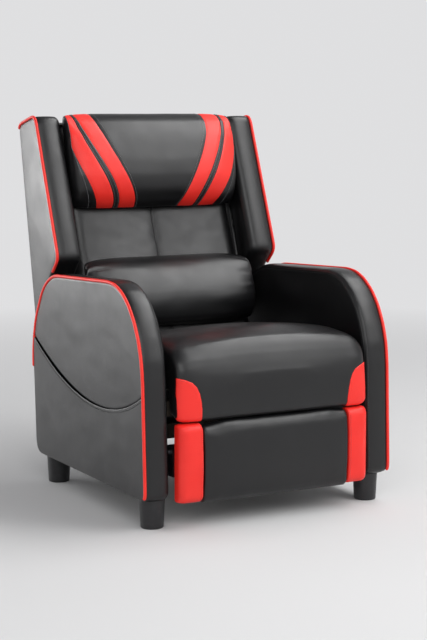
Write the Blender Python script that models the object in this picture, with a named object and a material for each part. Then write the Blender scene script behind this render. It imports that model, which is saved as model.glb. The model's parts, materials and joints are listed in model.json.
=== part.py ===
"""A push-back gaming recliner, built as separate pieces.

Lengths are in metres, +Z is up and the chair faces -Y. Places are laid out from the plane
of the arms' front faces, with y measured back from it, and the whole chair then stands with
its origin under the middle of its box. Left and right are the sitter's: right is -X.
"""
import math

import bmesh
import bpy
from mathutils import Vector

# Clearances
CLEAR = 0.0003
LAYER_GAP = 0.0005
OVERRUN = 0.004

# Arms
ARM_SPREAD = 0.697
ARM_THICKNESS = 0.0685
ARM_DEPTH = 0.690
ARM_RISE = 0.514
FOOT_HEIGHT = 0.072
ARM_EDGE = 0.006
ARM_INNER_EDGE = 0.004
ARM_FRAME_THICKNESS = 0.032
ARM_INNER_PADDING = 0.009
ARM_RIM_PADDING = 0.016
PIPING_RADIUS = 0.0035

# Feet
FOOT_TOP_RADIUS = 0.0315
FOOT_BASE_RADIUS = 0.028
FOOT_LIP = 0.004
FOOT_STUD_RADIUS = 0.004
FOOT_STUD_LENGTH = 0.030
FRONT_FOOT_Y = 0.050
REAR_FOOT_MARGIN = 0.080

# Side pocket
POCKET_RECESS = 0.0105
POCKET_SKIN = 0.0025
POCKET_SEAM = 0.012
POCKET_MARGIN = 0.022
POCKET_SLIT = 0.012
POCKET_HOLLOW_RISE = 0.024

# Cross members between the arms
STRETCHER_DEPTH = 0.020
STRETCHER_HEIGHT = 0.042
STRETCHER_BOTTOM = 0.085
FRONT_STRETCHER_Y = 0.207
REAR_STRETCHER_MARGIN = 0.090
SKIRT_MARGIN = 0.062
SKIRT_THICKNESS = 0.006
SKIRT_BOTTOM = 0.078
SKIRT_TOP = 0.290

# Steel work of the mechanism
PLATE = 0.003
LINK_HALF_WIDTH = 0.0075
PIN_RADIUS = 0.004
PIN_SIDES = 12
HEAD_RADIUS = 0.0065
HEAD_THICKNESS = 0.0012
PIN_ROOT = 0.001
SWING_LENGTH = 0.070
SWING_HALF_WIDTH = 0.010
SWING_TOP_Z = 0.238
FRONT_SWING_Y = 0.250
REAR_SWING_MARGIN = 0.190
BASE_PLATE_MARGIN = 0.030

# Seat
SEAT_SIDE_GAP = 0.013
SEAT_FRONT_Y = -0.016
SEAT_REAR_MARGIN = 0.198
SEAT_FRONT_Z = 0.421
SEAT_CROWN = 0.025
SEAT_ROUNDING = 0.036
SEAT_LIP_BOTTOM_Z = 0.264
SEAT_EDGE = 0.034
SEAT_EDGE_DROP = 0.012
SEAT_BOW = 0.005
RAIL_FRONT_Y = 0.045
RAIL_REAR_MARGIN = 0.085
RAIL_TOP_Z = 0.300
RAIL_BOTTOM_Z = 0.213
RAIL_NOSE = 0.020
SEAT_FRAME_BOTTOM_Z = 0.266
SEAT_FRAME_HEIGHT = 0.036
SEAT_FRAME_FRONT_Y = 0.045
SEAT_FRAME_REAR_MARGIN = 0.220
SEAT_BOARD = 0.024
SPRING_COUNT = 4
SPRING_WIRE_RADIUS = 0.0018
SPRING_ARCH = 0.016
SPRING_BENDS = 12
SPRING_SWING = 0.022

# Footrest and its linkage
FOOTREST_SIDE_GAP = 0.014
FOOTREST_STRIP = 0.062
FOOTREST_BOTTOM_Z = 0.058
FOOTREST_TOP_Z = 0.259
FOOTREST_PAD_DROP = 0.016
FOOTREST_FRONT_Y = -0.034
FOOTREST_CROWN = 0.009
FOOTREST_BACK_Y = 0.012
FOOTREST_ROUNDING = 0.020
FOOTREST_EDGE = 0.020
FOOTREST_SEAM_EDGE = 0.004
FOOTREST_BOARD = 0.012
FOOTREST_BOARD_MARGIN = 0.018
BRACKET_FLANGE = 0.022
REAR_PIVOT_Y = 0.095
REAR_PIVOT_Z = 0.225
CARRY_LINK_LENGTH = 0.180
CARRY_LINK_START_DEG = -60.0
PIVOT_SPACING = 0.045
REACH_LINK_LENGTH = 0.135
REACH_LINK_DEG = 150.0
BRACKET_SPACING = 0.050
TORQUE_TUBE_RADIUS = 0.008
TORQUE_TUBE_SIDES = 16
TORQUE_TUBE_DROP = 0.063

# Back
BACK_OVERHANG = 0.117
BACK_TOP_Z = 0.976
BACK_PIVOT_MARGIN = 0.105
BACK_PIVOT_Z = 0.265
WING_SIDE_STEP = 0.0205
WING_THICKNESS = 0.074
WING_EDGE = 0.006
WING_FRONT_EDGE = 0.005
WING_ARM_GAP = 0.007
WING_FOOT_Z = 0.425
PAD_GAP = 0.0015
PAD_BOTTOM_Z = 0.340
PAD_TOP_Z = 0.945
PAD_TOP_MARGIN = 0.071
PAD_BEND = 0.0145
PAD_THICKNESS = 0.048
PAD_TOP_THICKNESS = 0.022
PAD_CROWN = 0.012
PAD_EDGE = 0.010
PAD_SEAM_DEPTH = 0.004
BACK_BOARD = 0.009
UPRIGHT_WIDTH = 0.034
UPRIGHT_BOTTOM_Z = 0.296
REAR_PANEL = 0.009
REAR_PANEL_BOTTOM_Z = 0.330
BRACKET_HALF_WIDTH = 0.013
BRACKET_STANDOFF_RADIUS = 0.010
BRACKET_REACH = 0.150
BRACKET_LEAN_DEG = 70.0
LUMBAR_SIDE_GAP = 0.004
LUMBAR_Z = 0.504
LUMBAR_HEIGHT = 0.188
LUMBAR_DEPTH = 0.092
PILLOW_SIDE_GAP = 0.003
PILLOW_TOP_Z = 0.979
PILLOW_BOTTOM_Z = 0.725
PILLOW_DEPTH = 0.090

# Derived places, shared by several pieces
PIPING_OFF = (PIPING_RADIUS + CLEAR) / math.sqrt(2) - ARM_EDGE / 2
HALF_SPREAD = ARM_SPREAD / 2 - PIPING_RADIUS - PIPING_OFF
ARM_INNER_X = ARM_SPREAD / 2 - ARM_THICKNESS
ARM_TOP_Z = FOOT_HEIGHT + ARM_RISE
REAR_FOOT_Y = ARM_DEPTH - REAR_FOOT_MARGIN
REAR_STRETCHER_Y = ARM_DEPTH - REAR_STRETCHER_MARGIN
SKIRT_Y = ARM_DEPTH - SKIRT_MARGIN
REAR_SWING_Y = ARM_DEPTH - REAR_SWING_MARGIN
SEAT_REAR_Y = ARM_DEPTH - SEAT_REAR_MARGIN
SEAT_FRAME_REAR_Y = ARM_DEPTH - SEAT_FRAME_REAR_MARGIN
RAIL_REAR_Y = ARM_DEPTH - RAIL_REAR_MARGIN
BACK_PIVOT_Y = ARM_DEPTH - BACK_PIVOT_MARGIN
BACK_REACH = ARM_DEPTH + BACK_OVERHANG
PAD_TOP_Y = BACK_REACH - PAD_TOP_MARGIN
SEAT_HALF_WIDTH = ARM_INNER_X - SEAT_SIDE_GAP
FOOTREST_HALF_WIDTH = ARM_INNER_X - FOOTREST_SIDE_GAP
BASE_LAYER = ARM_INNER_X - CLEAR
SWING_LAYER = BASE_LAYER - PLATE - LAYER_GAP
RAIL_LAYER = SWING_LAYER - PLATE - LAYER_GAP
CARRY_LAYER = RAIL_LAYER - PLATE - LAYER_GAP
REACH_LAYER = CARRY_LAYER - PLATE - LAYER_GAP
BRACKET_LAYER = REACH_LAYER - PLATE - LAYER_GAP
WING_OUTER_X = ARM_SPREAD / 2 - WING_SIDE_STEP
WING_INNER_X = WING_OUTER_X - WING_THICKNESS
PAD_HALF_WIDTH = WING_INNER_X - PAD_GAP
PILLOW_GAP = PAD_CROWN / 2 + CLEAR
LUMBAR_HALF_WIDTH = PAD_HALF_WIDTH - LUMBAR_SIDE_GAP
PILLOW_HALF_WIDTH = PAD_HALF_WIDTH - PILLOW_SIDE_GAP
SPRING_BASE_Z = SEAT_FRAME_BOTTOM_Z + SEAT_FRAME_HEIGHT + SPRING_WIRE_RADIUS + CLEAR
SEAT_UNDERSIDE_Z = SPRING_BASE_Z + SPRING_ARCH + SPRING_WIRE_RADIUS + CLEAR

SIDES = (("left", 1), ("right", -1))
SHARP_EDGE_DEG = 32.0
MITRE_LIMIT_DEG = 60.0


def polar(start, length, degrees):
    """The (y, z) place at a length and an angle up from +Y."""
    turn = math.radians(degrees)
    return (start[0] + length * math.cos(turn), start[1] + length * math.sin(turn))


# Footrest linkage pivots, as (y, z) with the footrest closed
REAR_PIVOT = (REAR_PIVOT_Y, REAR_PIVOT_Z)
FRONT_PIVOT = polar(REAR_PIVOT, PIVOT_SPACING, REACH_LINK_DEG)
REAR_JOINT = polar(REAR_PIVOT, CARRY_LINK_LENGTH, CARRY_LINK_START_DEG)
FRONT_JOINT = polar(REAR_JOINT, PIVOT_SPACING, REACH_LINK_DEG)
UPPER_JOINT = polar(REAR_JOINT, -BRACKET_SPACING, CARRY_LINK_START_DEG)
LOWER_BRACKET = polar(REAR_JOINT, REACH_LINK_LENGTH, REACH_LINK_DEG)
UPPER_BRACKET = polar(UPPER_JOINT, REACH_LINK_LENGTH, REACH_LINK_DEG)

# Seat carrier pivots
FRONT_SWING_TOP = (FRONT_SWING_Y, SWING_TOP_Z)
REAR_SWING_TOP = (REAR_SWING_Y, SWING_TOP_Z)
FRONT_SWING_FOOT = (FRONT_SWING_Y, SWING_TOP_Z - SWING_LENGTH)
REAR_SWING_FOOT = (REAR_SWING_Y, SWING_TOP_Z - SWING_LENGTH)
BACK_PIVOT = (BACK_PIVOT_Y, BACK_PIVOT_Z)

# Shares of a piece's depth and height, chosen by hand
ARM_FRONT_FOOT_SHARE = 0.006
ARM_FRONT_TOP_SHARE = 0.035
ARM_TOP_REAR_SHARE = (0.845, 0.952)
ARM_SLOPE_END_SHARE = (0.992, 0.640)
ARM_REAR_FOOT_SHARE = 0.968
ARM_ROUNDING_SHARES = ((0.03, 0.03), (0.06, 0.06), (0.17, 0.13), (0.13, 0.13), (0.345, 0.45))
ARM_PIPING_FOOT_SHARE = 0.015
ARM_PIPING_STOP_SHARE = 0.46
POCKET_MOUTH_SHARES = ((0.0, 0.466), (0.184, 0.397), (0.323, 0.374), (0.466, 0.385),
                       (0.665, 0.428), (0.874, 0.525), (1.0, 0.590))
POCKET_SLIT_SHARES = (0.45, 0.60, 0.75, 0.90, 1.0, 0.90, 0.70)
WING_TOP_REAR_SHARE = (1.0, 0.93)
WING_TOP_FRONT_SHARE = (0.855, 1.0)
WING_KINK_SHARE = (0.676, 0.046)
WING_FOOT_REAR_SHARE = 0.878
WING_ROUNDING_SHARES = (0.075, 0.075, 0.25, 0.25, 0.19, 0.25)
WING_BEND_SHARE = 0.02
WING_PIPING_REAR_SHARE = 0.87
WING_PIPING_TOP_SHARE = 0.96
WING_PIPING_FOOT_SHARE = 0.26
SEAT_TOP_SHARES = ((1.0, -0.7), (0.55, 0.1), (0.22, 0.45), (0.0035, 0.0))
SEAT_ROUNDING_SHARES = ((0.4, 0.4), (0.0, 0.0), (0.0, 0.0), (0.0, 0.0),
                        (0.6, 0.8), (2.0, 2.0), (1.4, 1.4), (1.5, 1.4))
FOOTREST_BACK_ROUNDING_SHARE = 0.3
STRIP_FILL_SHARE = 0.45
STRIP_RISE_SHARE = 0.96
PAD_PANEL_CROWN_SHARE = 0.5
PAD_SEAM_WIDTH_SHARE = 0.083
RAIL_BOARD_SHARES = (1.5, 3.0)
REAR_PANEL_LAP_SHARE = 0.2
LUMBAR_END_SHARES = (0.18, 0.70)
PILLOW_END_SHARES = (0.45, 0.92)
PINCH_SHARES = (5, 0.42)
LUMBAR_FACE_SHARES = ((0.0, 0.20), (0.03, 0.40), (0.08, 0.58), (0.16, 0.76), (0.26, 0.90),
                      (0.36, 0.98), (0.46, 1.0), (0.56, 0.98), (0.66, 0.92), (0.76, 0.82),
                      (0.85, 0.68), (0.93, 0.49), (0.98, 0.30), (1.0, 0.14))
PILLOW_FACE_SHARES = ((0.0, 0.28), (0.03, 0.50), (0.08, 0.67), (0.16, 0.83), (0.26, 0.94),
                      (0.38, 1.0), (0.50, 1.0), (0.64, 0.98), (0.80, 0.93), (0.92, 0.78),
                      (0.985, 0.52), (1.0, 0.25))
PILLOW_REAR_SHARES = (0.985, 0.90, 0.70, 0.50, 0.30, 0.10, 0.02)


def clear_scene():
    for item in list(bpy.data.objects):
        bpy.data.objects.remove(item, do_unlink=True)


def make_material(name, colour, roughness, metallic=0.0):
    material = bpy.data.materials.new(name)
    material.use_nodes = True
    shader = material.node_tree.nodes["Principled BSDF"]
    shader.inputs["Base Color"].default_value = (*colour, 1.0)
    shader.inputs["Roughness"].default_value = roughness
    shader.inputs["Metallic"].default_value = metallic
    material.diffuse_color = (*colour, 1.0)
    return material


def make_materials():
    return {
        "black_leather": make_material("black_leather", (0.018, 0.018, 0.020), 0.38),
        "red_leather": make_material("red_leather", (0.80, 0.045, 0.030), 0.42),
        "timber": make_material("timber", (0.55, 0.38, 0.22), 0.75),
        "steel": make_material("steel", (0.55, 0.56, 0.58), 0.35, 1.0),
        "plastic": make_material("plastic", (0.030, 0.030, 0.032), 0.45),
        "skirt_cloth": make_material("skirt_cloth", (0.025, 0.025, 0.027), 0.90),
    }


class Chair:
    """The bodies, as a tree of empties on their joints' axes, and the pieces on them."""

    def __init__(self):
        self.materials = make_materials()
        self.places = {}
        self.empties = {}

    def add_body(self, name, parent, pivot):
        empty = bpy.data.objects.new(name, None)
        bpy.context.scene.collection.objects.link(empty)
        place = Vector((0.0, pivot[0], pivot[1]))
        if parent:
            empty.parent = self.empties[parent]
            empty.location = place - self.places[parent]
        else:
            empty.location = place
        self.empties[name] = empty
        self.places[name] = place

    def add_piece(self, name, mesh, material, body):
        piece = bpy.data.objects.new(name, mesh)
        bpy.context.scene.collection.objects.link(piece)
        piece.data.materials.append(self.materials[material])
        piece.parent = self.empties[body]
        piece.location = -self.places[body]
        return piece


def smooth(mesh):
    mesh.shade_smooth()
    mesh.set_sharp_from_angle(angle=math.radians(SHARP_EDGE_DEG))


def loft(name, sections):
    """One closed mesh through rings of points, with a flat face on each end."""
    build = bmesh.new()
    rings = [[build.verts.new(point) for point in ring] for ring in sections]
    count = len(rings[0])
    for near, far in zip(rings, rings[1:]):
        for i in range(count):
            j = (i + 1) % count
            build.faces.new((near[i], near[j], far[j], far[i]))
    build.faces.new(rings[0][::-1])
    build.faces.new(rings[-1])
    if build.calc_volume(signed=True) < 0:
        bmesh.ops.reverse_faces(build, faces=build.faces)
    mesh = bpy.data.meshes.new(name)
    build.to_mesh(mesh)
    build.free()
    smooth(mesh)
    return mesh


def signed_area(outline):
    pairs = zip(outline, outline[1:] + outline[:1])
    return sum(a[0] * b[1] - b[0] * a[1] for a, b in pairs) / 2


def inset(outline, distance):
    """The outline moved inward by a distance, mitred at its corners."""
    side = 1 if signed_area(outline) > 0 else -1
    moved = []
    for before, here, after in zip(outline[-1:] + outline[:-1], outline, outline[1:] + outline[:1]):
        first = (Vector(here) - Vector(before)).normalized()
        second = (Vector(after) - Vector(here)).normalized()
        inward = Vector((-first.y - second.y, first.x + second.x)) * side
        inward.normalize()
        normal = Vector((-first.y, first.x)) * side
        mitre = max(inward.dot(normal), math.cos(math.radians(MITRE_LIMIT_DEG)))
        moved.append(tuple(Vector(here) + inward * distance / mitre))
    return moved


def rounded(corners, steps=5):
    """An outline from corners (place, cut before, cut after), each cut an elliptic arc."""
    outline = []
    places = [Vector(corner[0]) for corner in corners]
    for i, (place, before, after) in enumerate(corners):
        here = Vector(place)
        if not before:
            outline.append(tuple(here))
            continue
        back = (places[i - 1] - here).normalized() * before
        ahead = (places[(i + 1) % len(places)] - here).normalized() * after
        for k in range(steps + 1):
            turn = math.pi / 2 * k / steps
            outline.append(tuple(here + back * (1 - math.sin(turn)) + ahead * (1 - math.cos(turn))))
    return outline


def box_outline(y_low, y_high, z_low, z_high):
    return [(y_low, z_low), (y_high, z_low), (y_high, z_high), (y_low, z_high)]


def slab_sections(outline, side, x_inner, x_outer, inner_edge=0.0, outer_edge=0.0, steps=1):
    """Rings of an outline carried across x, with each end chamfered or rounded."""
    sections = []
    if inner_edge:
        for k in range(steps):
            turn = math.pi / 2 * k / steps
            ring = inset(outline, inner_edge * (1 - math.sin(turn)))
            sections.append((x_inner + inner_edge * (1 - math.cos(turn)), ring))
    sections.append((x_inner + inner_edge, outline))
    sections.append((x_outer - outer_edge, outline))
    if outer_edge:
        for k in range(1, steps + 1):
            turn = math.pi / 2 * k / steps
            ring = inset(outline, outer_edge * (1 - math.cos(turn)))
            sections.append((x_outer - outer_edge * (1 - math.sin(turn)), ring))
    return [[(side * x, y, z) for y, z in ring] for x, ring in sections]


def slab(name, outline, side, x_inner, x_outer, **edges):
    return loft(name, slab_sections(outline, side, x_inner, x_outer, **edges))


def board_across(name, outline, half_width):
    return loft(name, slab_sections(outline, 1, -half_width, half_width))


def disc_ring(x, centre, radius, sides=PIN_SIDES):
    turns = [2 * math.pi * (k + 0.5) / sides for k in range(sides)]
    return [(x, centre[0] + radius * math.cos(t), centre[1] + radius * math.sin(t)) for t in turns]


def hidden_tool(name, mesh, target):
    tool = bpy.data.objects.new(name, mesh)
    bpy.context.scene.collection.objects.link(tool)
    tool.hide_render = True
    tool.display_type = "WIRE"
    tool.parent = target.parent
    tool.location = target.location
    return tool


def combine(piece, mesh, operation):
    tool = hidden_tool(f"{piece.name}_{operation.lower()}_{len(piece.modifiers)}", mesh, piece)
    modifier = piece.modifiers.new(operation.lower(), "BOOLEAN")
    modifier.operation = operation
    modifier.solver = "EXACT"
    modifier.object = tool


def hole_radius():
    return (PIN_RADIUS + CLEAR) / math.cos(math.pi / PIN_SIDES) + CLEAR


def drill(piece, side, layer, centre):
    """A pivot hole through a plate whose outer face is at the layer."""
    rings = [disc_ring(side * x, centre, hole_radius())
             for x in (layer - PLATE - OVERRUN, layer + OVERRUN)]
    combine(piece, loft("hole", rings), "DIFFERENCE")


def add_pin(piece, side, root, far, centre, head=True):
    """A pivot pin from inside its own plate, through its neighbour, to a flat head."""
    direction = 1 if far > root else -1
    start = root - direction * PIN_ROOT
    rings = [(start, PIN_RADIUS), (far, PIN_RADIUS)]
    if head:
        rings[-1] = (far + direction * LAYER_GAP, PIN_RADIUS)
        rings.append((far + direction * LAYER_GAP, HEAD_RADIUS))
        rings.append((far + direction * (LAYER_GAP + HEAD_THICKNESS), HEAD_RADIUS))
    sections = [disc_ring(side * x, centre, radius) for x, radius in rings]
    combine(piece, loft("pin", sections), "UNION")


def link_outline(first, second, half_width, steps=6):
    """A flat bar with round ends between two pivots."""
    along = math.atan2(second[1] - first[1], second[0] - first[0])
    outline = []
    for centre, start in ((first, along + math.pi / 2), (second, along - math.pi / 2)):
        for k in range(steps + 1):
            turn = start + math.pi * k / steps
            outline.append((centre[0] + half_width * math.cos(turn),
                            centre[1] + half_width * math.sin(turn)))
    return outline


def arm_place(share):
    return (ARM_DEPTH * share[0], FOOT_HEIGHT + ARM_RISE * share[1])


def arm_outline(margin=0.0, floor=FOOT_HEIGHT):
    """The arm's side outline, or the same shape a margin inside it and open to a floor."""
    places = [arm_place((ARM_FRONT_FOOT_SHARE, 0.0)), arm_place((ARM_REAR_FOOT_SHARE, 0.0)),
              arm_place(ARM_SLOPE_END_SHARE), arm_place(ARM_TOP_REAR_SHARE),
              arm_place((ARM_FRONT_TOP_SHARE, 1.0))]
    cuts = list(ARM_ROUNDING_SHARES)
    if margin:
        places = inset(places, margin)
        places[:2] = [(y, floor) for y, _ in places[:2]]
        cuts[:2] = [(0.0, 0.0), (0.0, 0.0)]
    corners = [(place, max(0.0, ARM_RISE * before - margin), max(0.0, ARM_RISE * after - margin))
               for place, (before, after) in zip(places, cuts)]
    return rounded(corners, steps=7)


def arm_core_span(growth):
    inner = ARM_INNER_X + ARM_INNER_PADDING
    return inner - growth, inner + ARM_FRAME_THICKNESS + growth


def foot_place(index):
    inner, outer = arm_core_span(0.0)
    return ((inner + outer) / 2, (FRONT_FOOT_Y, REAR_FOOT_Y)[index])


def pocket_outline(shrink, slit):
    """The pocket's outline on the arm: straight sides and foot, and a sagging mouth."""
    front = ARM_DEPTH * ARM_FRONT_FOOT_SHARE + POCKET_MARGIN + shrink
    rear = ARM_DEPTH * ARM_REAR_FOOT_SHARE - POCKET_MARGIN - shrink
    low = FOOT_HEIGHT + POCKET_MARGIN + shrink
    mouth = []
    for (along, up), open_share in zip(POCKET_MOUTH_SHARES, POCKET_SLIT_SHARES):
        z = FOOT_HEIGHT + ARM_RISE * up - slit * open_share
        mouth.append((front + (rear - front) * along, z))
    return [(front, low), (rear, low)] + smooth_line(mouth)[::-1]


def smooth_line(points, steps=3):
    """A Catmull-Rom line through the points."""
    line = []
    padded = [points[0]] + list(points) + [points[-1]]
    for a, b, c, d in zip(padded, padded[1:], padded[2:], padded[3:]):
        for k in range(steps):
            t = k / steps
            line.append(tuple(
                0.5 * (2 * q + (r - p) * t + (2 * p - 5 * q + 4 * r - s) * t ** 2
                       + (3 * q - p - 3 * r + s) * t ** 3)
                for p, q, r, s in zip(a, b, c, d)))
    return line + [tuple(points[-1])]


def piping_mesh_object(chair, name, path, radius, material, body, sides_level=2):
    curve = bpy.data.curves.new(name, "CURVE")
    curve.dimensions = "3D"
    curve.bevel_depth = radius
    curve.bevel_resolution = sides_level
    curve.use_fill_caps = True
    spline = curve.splines.new("POLY")
    spline.points.add(len(path) - 1)
    for point, place in zip(spline.points, path):
        point.co = (*place, 1.0)
    return chair.add_piece(name, curve, material, body)


def piping_path(side, outline, x_face, edge):
    """A line that lies in the chamfer round an outline's outer edge."""
    off = (PIPING_RADIUS + CLEAR) / math.sqrt(2) - edge / 2
    ring = inset(outline, -off)
    return [(side * (x_face + off), y, z) for y, z in ring]


def build_arms(chair):
    outline = arm_outline()
    for name, side in SIDES:
        cover_mesh = slab(f"{name}_arm_cover", outline, side, ARM_INNER_X, HALF_SPREAD,
                          inner_edge=ARM_INNER_EDGE, outer_edge=ARM_EDGE)
        cover = chair.add_piece(f"{name}_arm_cover", cover_mesh, "black_leather", "base")
        inner, outer = arm_core_span(CLEAR)
        cavity = arm_outline(ARM_RIM_PADDING - CLEAR, FOOT_HEIGHT - OVERRUN)
        combine(cover, slab("cavity", cavity, side, inner, outer), "DIFFERENCE")
        inner, outer = arm_core_span(0.0)
        core = arm_outline(ARM_RIM_PADDING, FOOT_HEIGHT)
        frame_mesh = slab(f"{name}_arm_frame", core, side, inner, outer)
        frame = chair.add_piece(f"{name}_arm_frame", frame_mesh, "timber", "base")
        for place in range(2):
            x, y = foot_place(place)
            combine(frame, turned("stud_hole", [
                (FOOT_STUD_RADIUS + CLEAR, FOOT_HEIGHT - OVERRUN),
                (FOOT_STUD_RADIUS + CLEAR, FOOT_HEIGHT + FOOT_STUD_LENGTH + CLEAR)],
                (side * x, y), PIN_SIDES), "DIFFERENCE")
        if name == "right":
            recess = slab("recess", pocket_outline(0.0, 0.0), side,
                          HALF_SPREAD - POCKET_RECESS, HALF_SPREAD + OVERRUN)
            combine(cover, recess, "DIFFERENCE")
        build_arm_piping(chair, name, side, outline)


def build_arm_piping(chair, name, side, outline):
    """The piping runs from the front foot over the top and down behind to mid height."""
    path = piping_path(side, outline, HALF_SPREAD, ARM_EDGE)
    stop_z = FOOT_HEIGHT + ARM_RISE * ARM_PIPING_STOP_SHARE
    above = [point for point in path if point[2] > stop_z]
    front = ARM_DEPTH * ARM_FRONT_FOOT_SHARE - PIPING_OFF
    foot = (above[-1][0], front, FOOT_HEIGHT + ARM_RISE * ARM_PIPING_FOOT_SHARE)
    piping_mesh_object(chair, f"{name}_arm_piping", above + [foot], PIPING_RADIUS,
                       "red_leather", "base")


def turned(name, profile, centre, sides=20):
    """A solid turned about a vertical axis, from (radius, z) pairs."""
    rings = []
    for radius, z in profile:
        turns = [2 * math.pi * k / sides for k in range(sides)]
        rings.append([(centre[0] + radius * math.cos(t), centre[1] + radius * math.sin(t), z)
                      for t in turns])
    return loft(name, rings)


def build_feet(chair):
    top = FOOT_HEIGHT - CLEAR
    profile = [
        (FOOT_BASE_RADIUS - FOOT_LIP / 2, 0.0),
        (FOOT_BASE_RADIUS, FOOT_LIP / 2),
        (FOOT_TOP_RADIUS - FOOT_LIP / 2, top - FOOT_LIP),
        (FOOT_TOP_RADIUS, top - FOOT_LIP / 2),
        (FOOT_TOP_RADIUS, top),
        (FOOT_STUD_RADIUS, top),
        (FOOT_STUD_RADIUS, top + FOOT_STUD_LENGTH),
    ]
    for name, side in SIDES:
        for index, end in enumerate(("front", "rear")):
            x, y = foot_place(index)
            mesh = turned(f"{end}_{name}_foot", profile, (side * x, y))
            chair.add_piece(f"{end}_{name}_foot", mesh, "plastic", "base")


def build_pocket(chair):
    side = -1
    floor_x = HALF_SPREAD - POCKET_RECESS + CLEAR
    outline = pocket_outline(CLEAR, POCKET_SLIT)
    mesh = slab("side_pocket", outline, side, floor_x, HALF_SPREAD)
    pocket = chair.add_piece("side_pocket", mesh, "black_leather", "base")
    hollow = pocket_outline(CLEAR + POCKET_SEAM, POCKET_SLIT)
    mouth = [(y, z + POCKET_HOLLOW_RISE) for y, z in hollow[2:]]
    combine(pocket, slab("hollow", hollow[:2] + mouth, side, floor_x - OVERRUN,
                         HALF_SPREAD - POCKET_SKIN), "DIFFERENCE")


def build_cross_members(chair):
    half = ARM_INNER_X - CLEAR
    z_top = STRETCHER_BOTTOM + STRETCHER_HEIGHT
    for name, y in (("front_stretcher", FRONT_STRETCHER_Y), ("rear_stretcher", REAR_STRETCHER_Y)):
        outline = box_outline(y, y + STRETCHER_DEPTH, STRETCHER_BOTTOM, z_top)
        chair.add_piece(name, board_across(name, outline, half), "timber", "base")
    outline = box_outline(SKIRT_Y, SKIRT_Y + SKIRT_THICKNESS, SKIRT_BOTTOM, SKIRT_TOP)
    chair.add_piece("rear_skirt", board_across("rear_skirt", outline, half), "skirt_cloth", "base")


def build_base_plates(chair):
    low = STRETCHER_BOTTOM + STRETCHER_HEIGHT + CLEAR
    high = SWING_TOP_Z + SWING_HALF_WIDTH
    corner = SWING_HALF_WIDTH
    front = FRONT_SWING_Y - BASE_PLATE_MARGIN
    rear = REAR_SWING_Y + BASE_PLATE_MARGIN
    corners = [((front, low), corner, corner), ((rear, low), corner, corner),
               ((rear, high), corner, corner), ((front, high), corner, corner)]
    for name, side in SIDES:
        mesh = slab(f"{name}_base_plate", rounded(corners, 3), side, BASE_LAYER - PLATE, BASE_LAYER)
        plate = chair.add_piece(f"{name}_base_plate", mesh, "steel", "base")
        for centre in (FRONT_SWING_TOP, REAR_SWING_TOP):
            drill(plate, side, BASE_LAYER, centre)


def build_swing_links(chair):
    pairs = (("front", FRONT_SWING_TOP, FRONT_SWING_FOOT), ("rear", REAR_SWING_TOP, REAR_SWING_FOOT))
    for end, top, foot in pairs:
        for name, side in SIDES:
            title = f"{name}_{end}_swing_link"
            mesh = slab(title, link_outline(top, foot, SWING_HALF_WIDTH), side,
                        SWING_LAYER - PLATE, SWING_LAYER)
            link = chair.add_piece(title, mesh, "steel", f"{end}_swing")
            add_pin(link, side, SWING_LAYER, BASE_LAYER - CLEAR, top, head=False)
            add_pin(link, side, SWING_LAYER - PLATE, RAIL_LAYER - PLATE, foot)


def rail_outline():
    """The seat rail: a long plate with a lug down to each swing link's foot."""
    lug = SWING_HALF_WIDTH
    lug_low = SWING_TOP_Z - SWING_LENGTH - lug
    points = [(RAIL_FRONT_Y, RAIL_BOTTOM_Z)]
    for y in (FRONT_SWING_Y, REAR_SWING_Y):
        points += [(y - 2 * lug, RAIL_BOTTOM_Z), (y - lug, lug_low), (y + lug, lug_low),
                   (y + 2 * lug, RAIL_BOTTOM_Z)]
    points += [(RAIL_REAR_Y, RAIL_BOTTOM_Z + lug), (RAIL_REAR_Y, RAIL_TOP_Z),
               (RAIL_FRONT_Y + RAIL_NOSE, RAIL_TOP_Z), (RAIL_FRONT_Y, RAIL_TOP_Z - 2 * RAIL_NOSE)]
    return points


def build_rails(chair):
    for name, side in SIDES:
        mesh = slab(f"{name}_seat_rail", rail_outline(), side, RAIL_LAYER - PLATE, RAIL_LAYER)
        rail = chair.add_piece(f"{name}_seat_rail", mesh, "steel", "seat")
        for centre in (FRONT_SWING_FOOT, REAR_SWING_FOOT, BACK_PIVOT):
            drill(rail, side, RAIL_LAYER, centre)
        for centre in (REAR_PIVOT, FRONT_PIVOT):
            add_pin(rail, side, RAIL_LAYER - PLATE, CARRY_LAYER - PLATE, centre)


def build_seat_frame(chair):
    half = RAIL_LAYER - PLATE - CLEAR
    outline = box_outline(SEAT_FRAME_FRONT_Y, SEAT_FRAME_REAR_Y, SEAT_FRAME_BOTTOM_Z,
                          SEAT_FRAME_BOTTOM_Z + SEAT_FRAME_HEIGHT)
    frame = chair.add_piece("seat_frame", board_across("seat_frame", outline, half), "timber", "seat")
    window = box_outline(SEAT_FRAME_FRONT_Y + SEAT_BOARD, SEAT_FRAME_REAR_Y - SEAT_BOARD,
                         SEAT_FRAME_BOTTOM_Z - OVERRUN,
                         SEAT_FRAME_BOTTOM_Z + SEAT_FRAME_HEIGHT + OVERRUN)
    combine(frame, board_across("window", window, half - SEAT_BOARD), "DIFFERENCE")


def build_seat_springs(chair):
    """Sinuous springs from the frame's front board to its rear board, arched up between."""
    start = SEAT_FRAME_FRONT_Y + SEAT_BOARD / 2
    length = SEAT_FRAME_REAR_Y - SEAT_BOARD / 2 - start
    span = 2 * (RAIL_LAYER - PLATE - SEAT_BOARD)
    for index in range(SPRING_COUNT):
        x = span * ((index + 0.5) / SPRING_COUNT - 0.5)
        path = []
        steps = SPRING_BENDS * 4
        for k in range(steps + 1):
            along = k / steps
            swing = SPRING_SWING * math.sin(math.pi * SPRING_BENDS * along)
            arch = SPRING_ARCH * math.sin(math.pi * along)
            path.append((x + swing, start + length * along, SPRING_BASE_Z + arch))
        piping_mesh_object(chair, f"seat_spring_{index + 1}", path, SPRING_WIRE_RADIUS,
                           "steel", "seat", 1)


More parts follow.
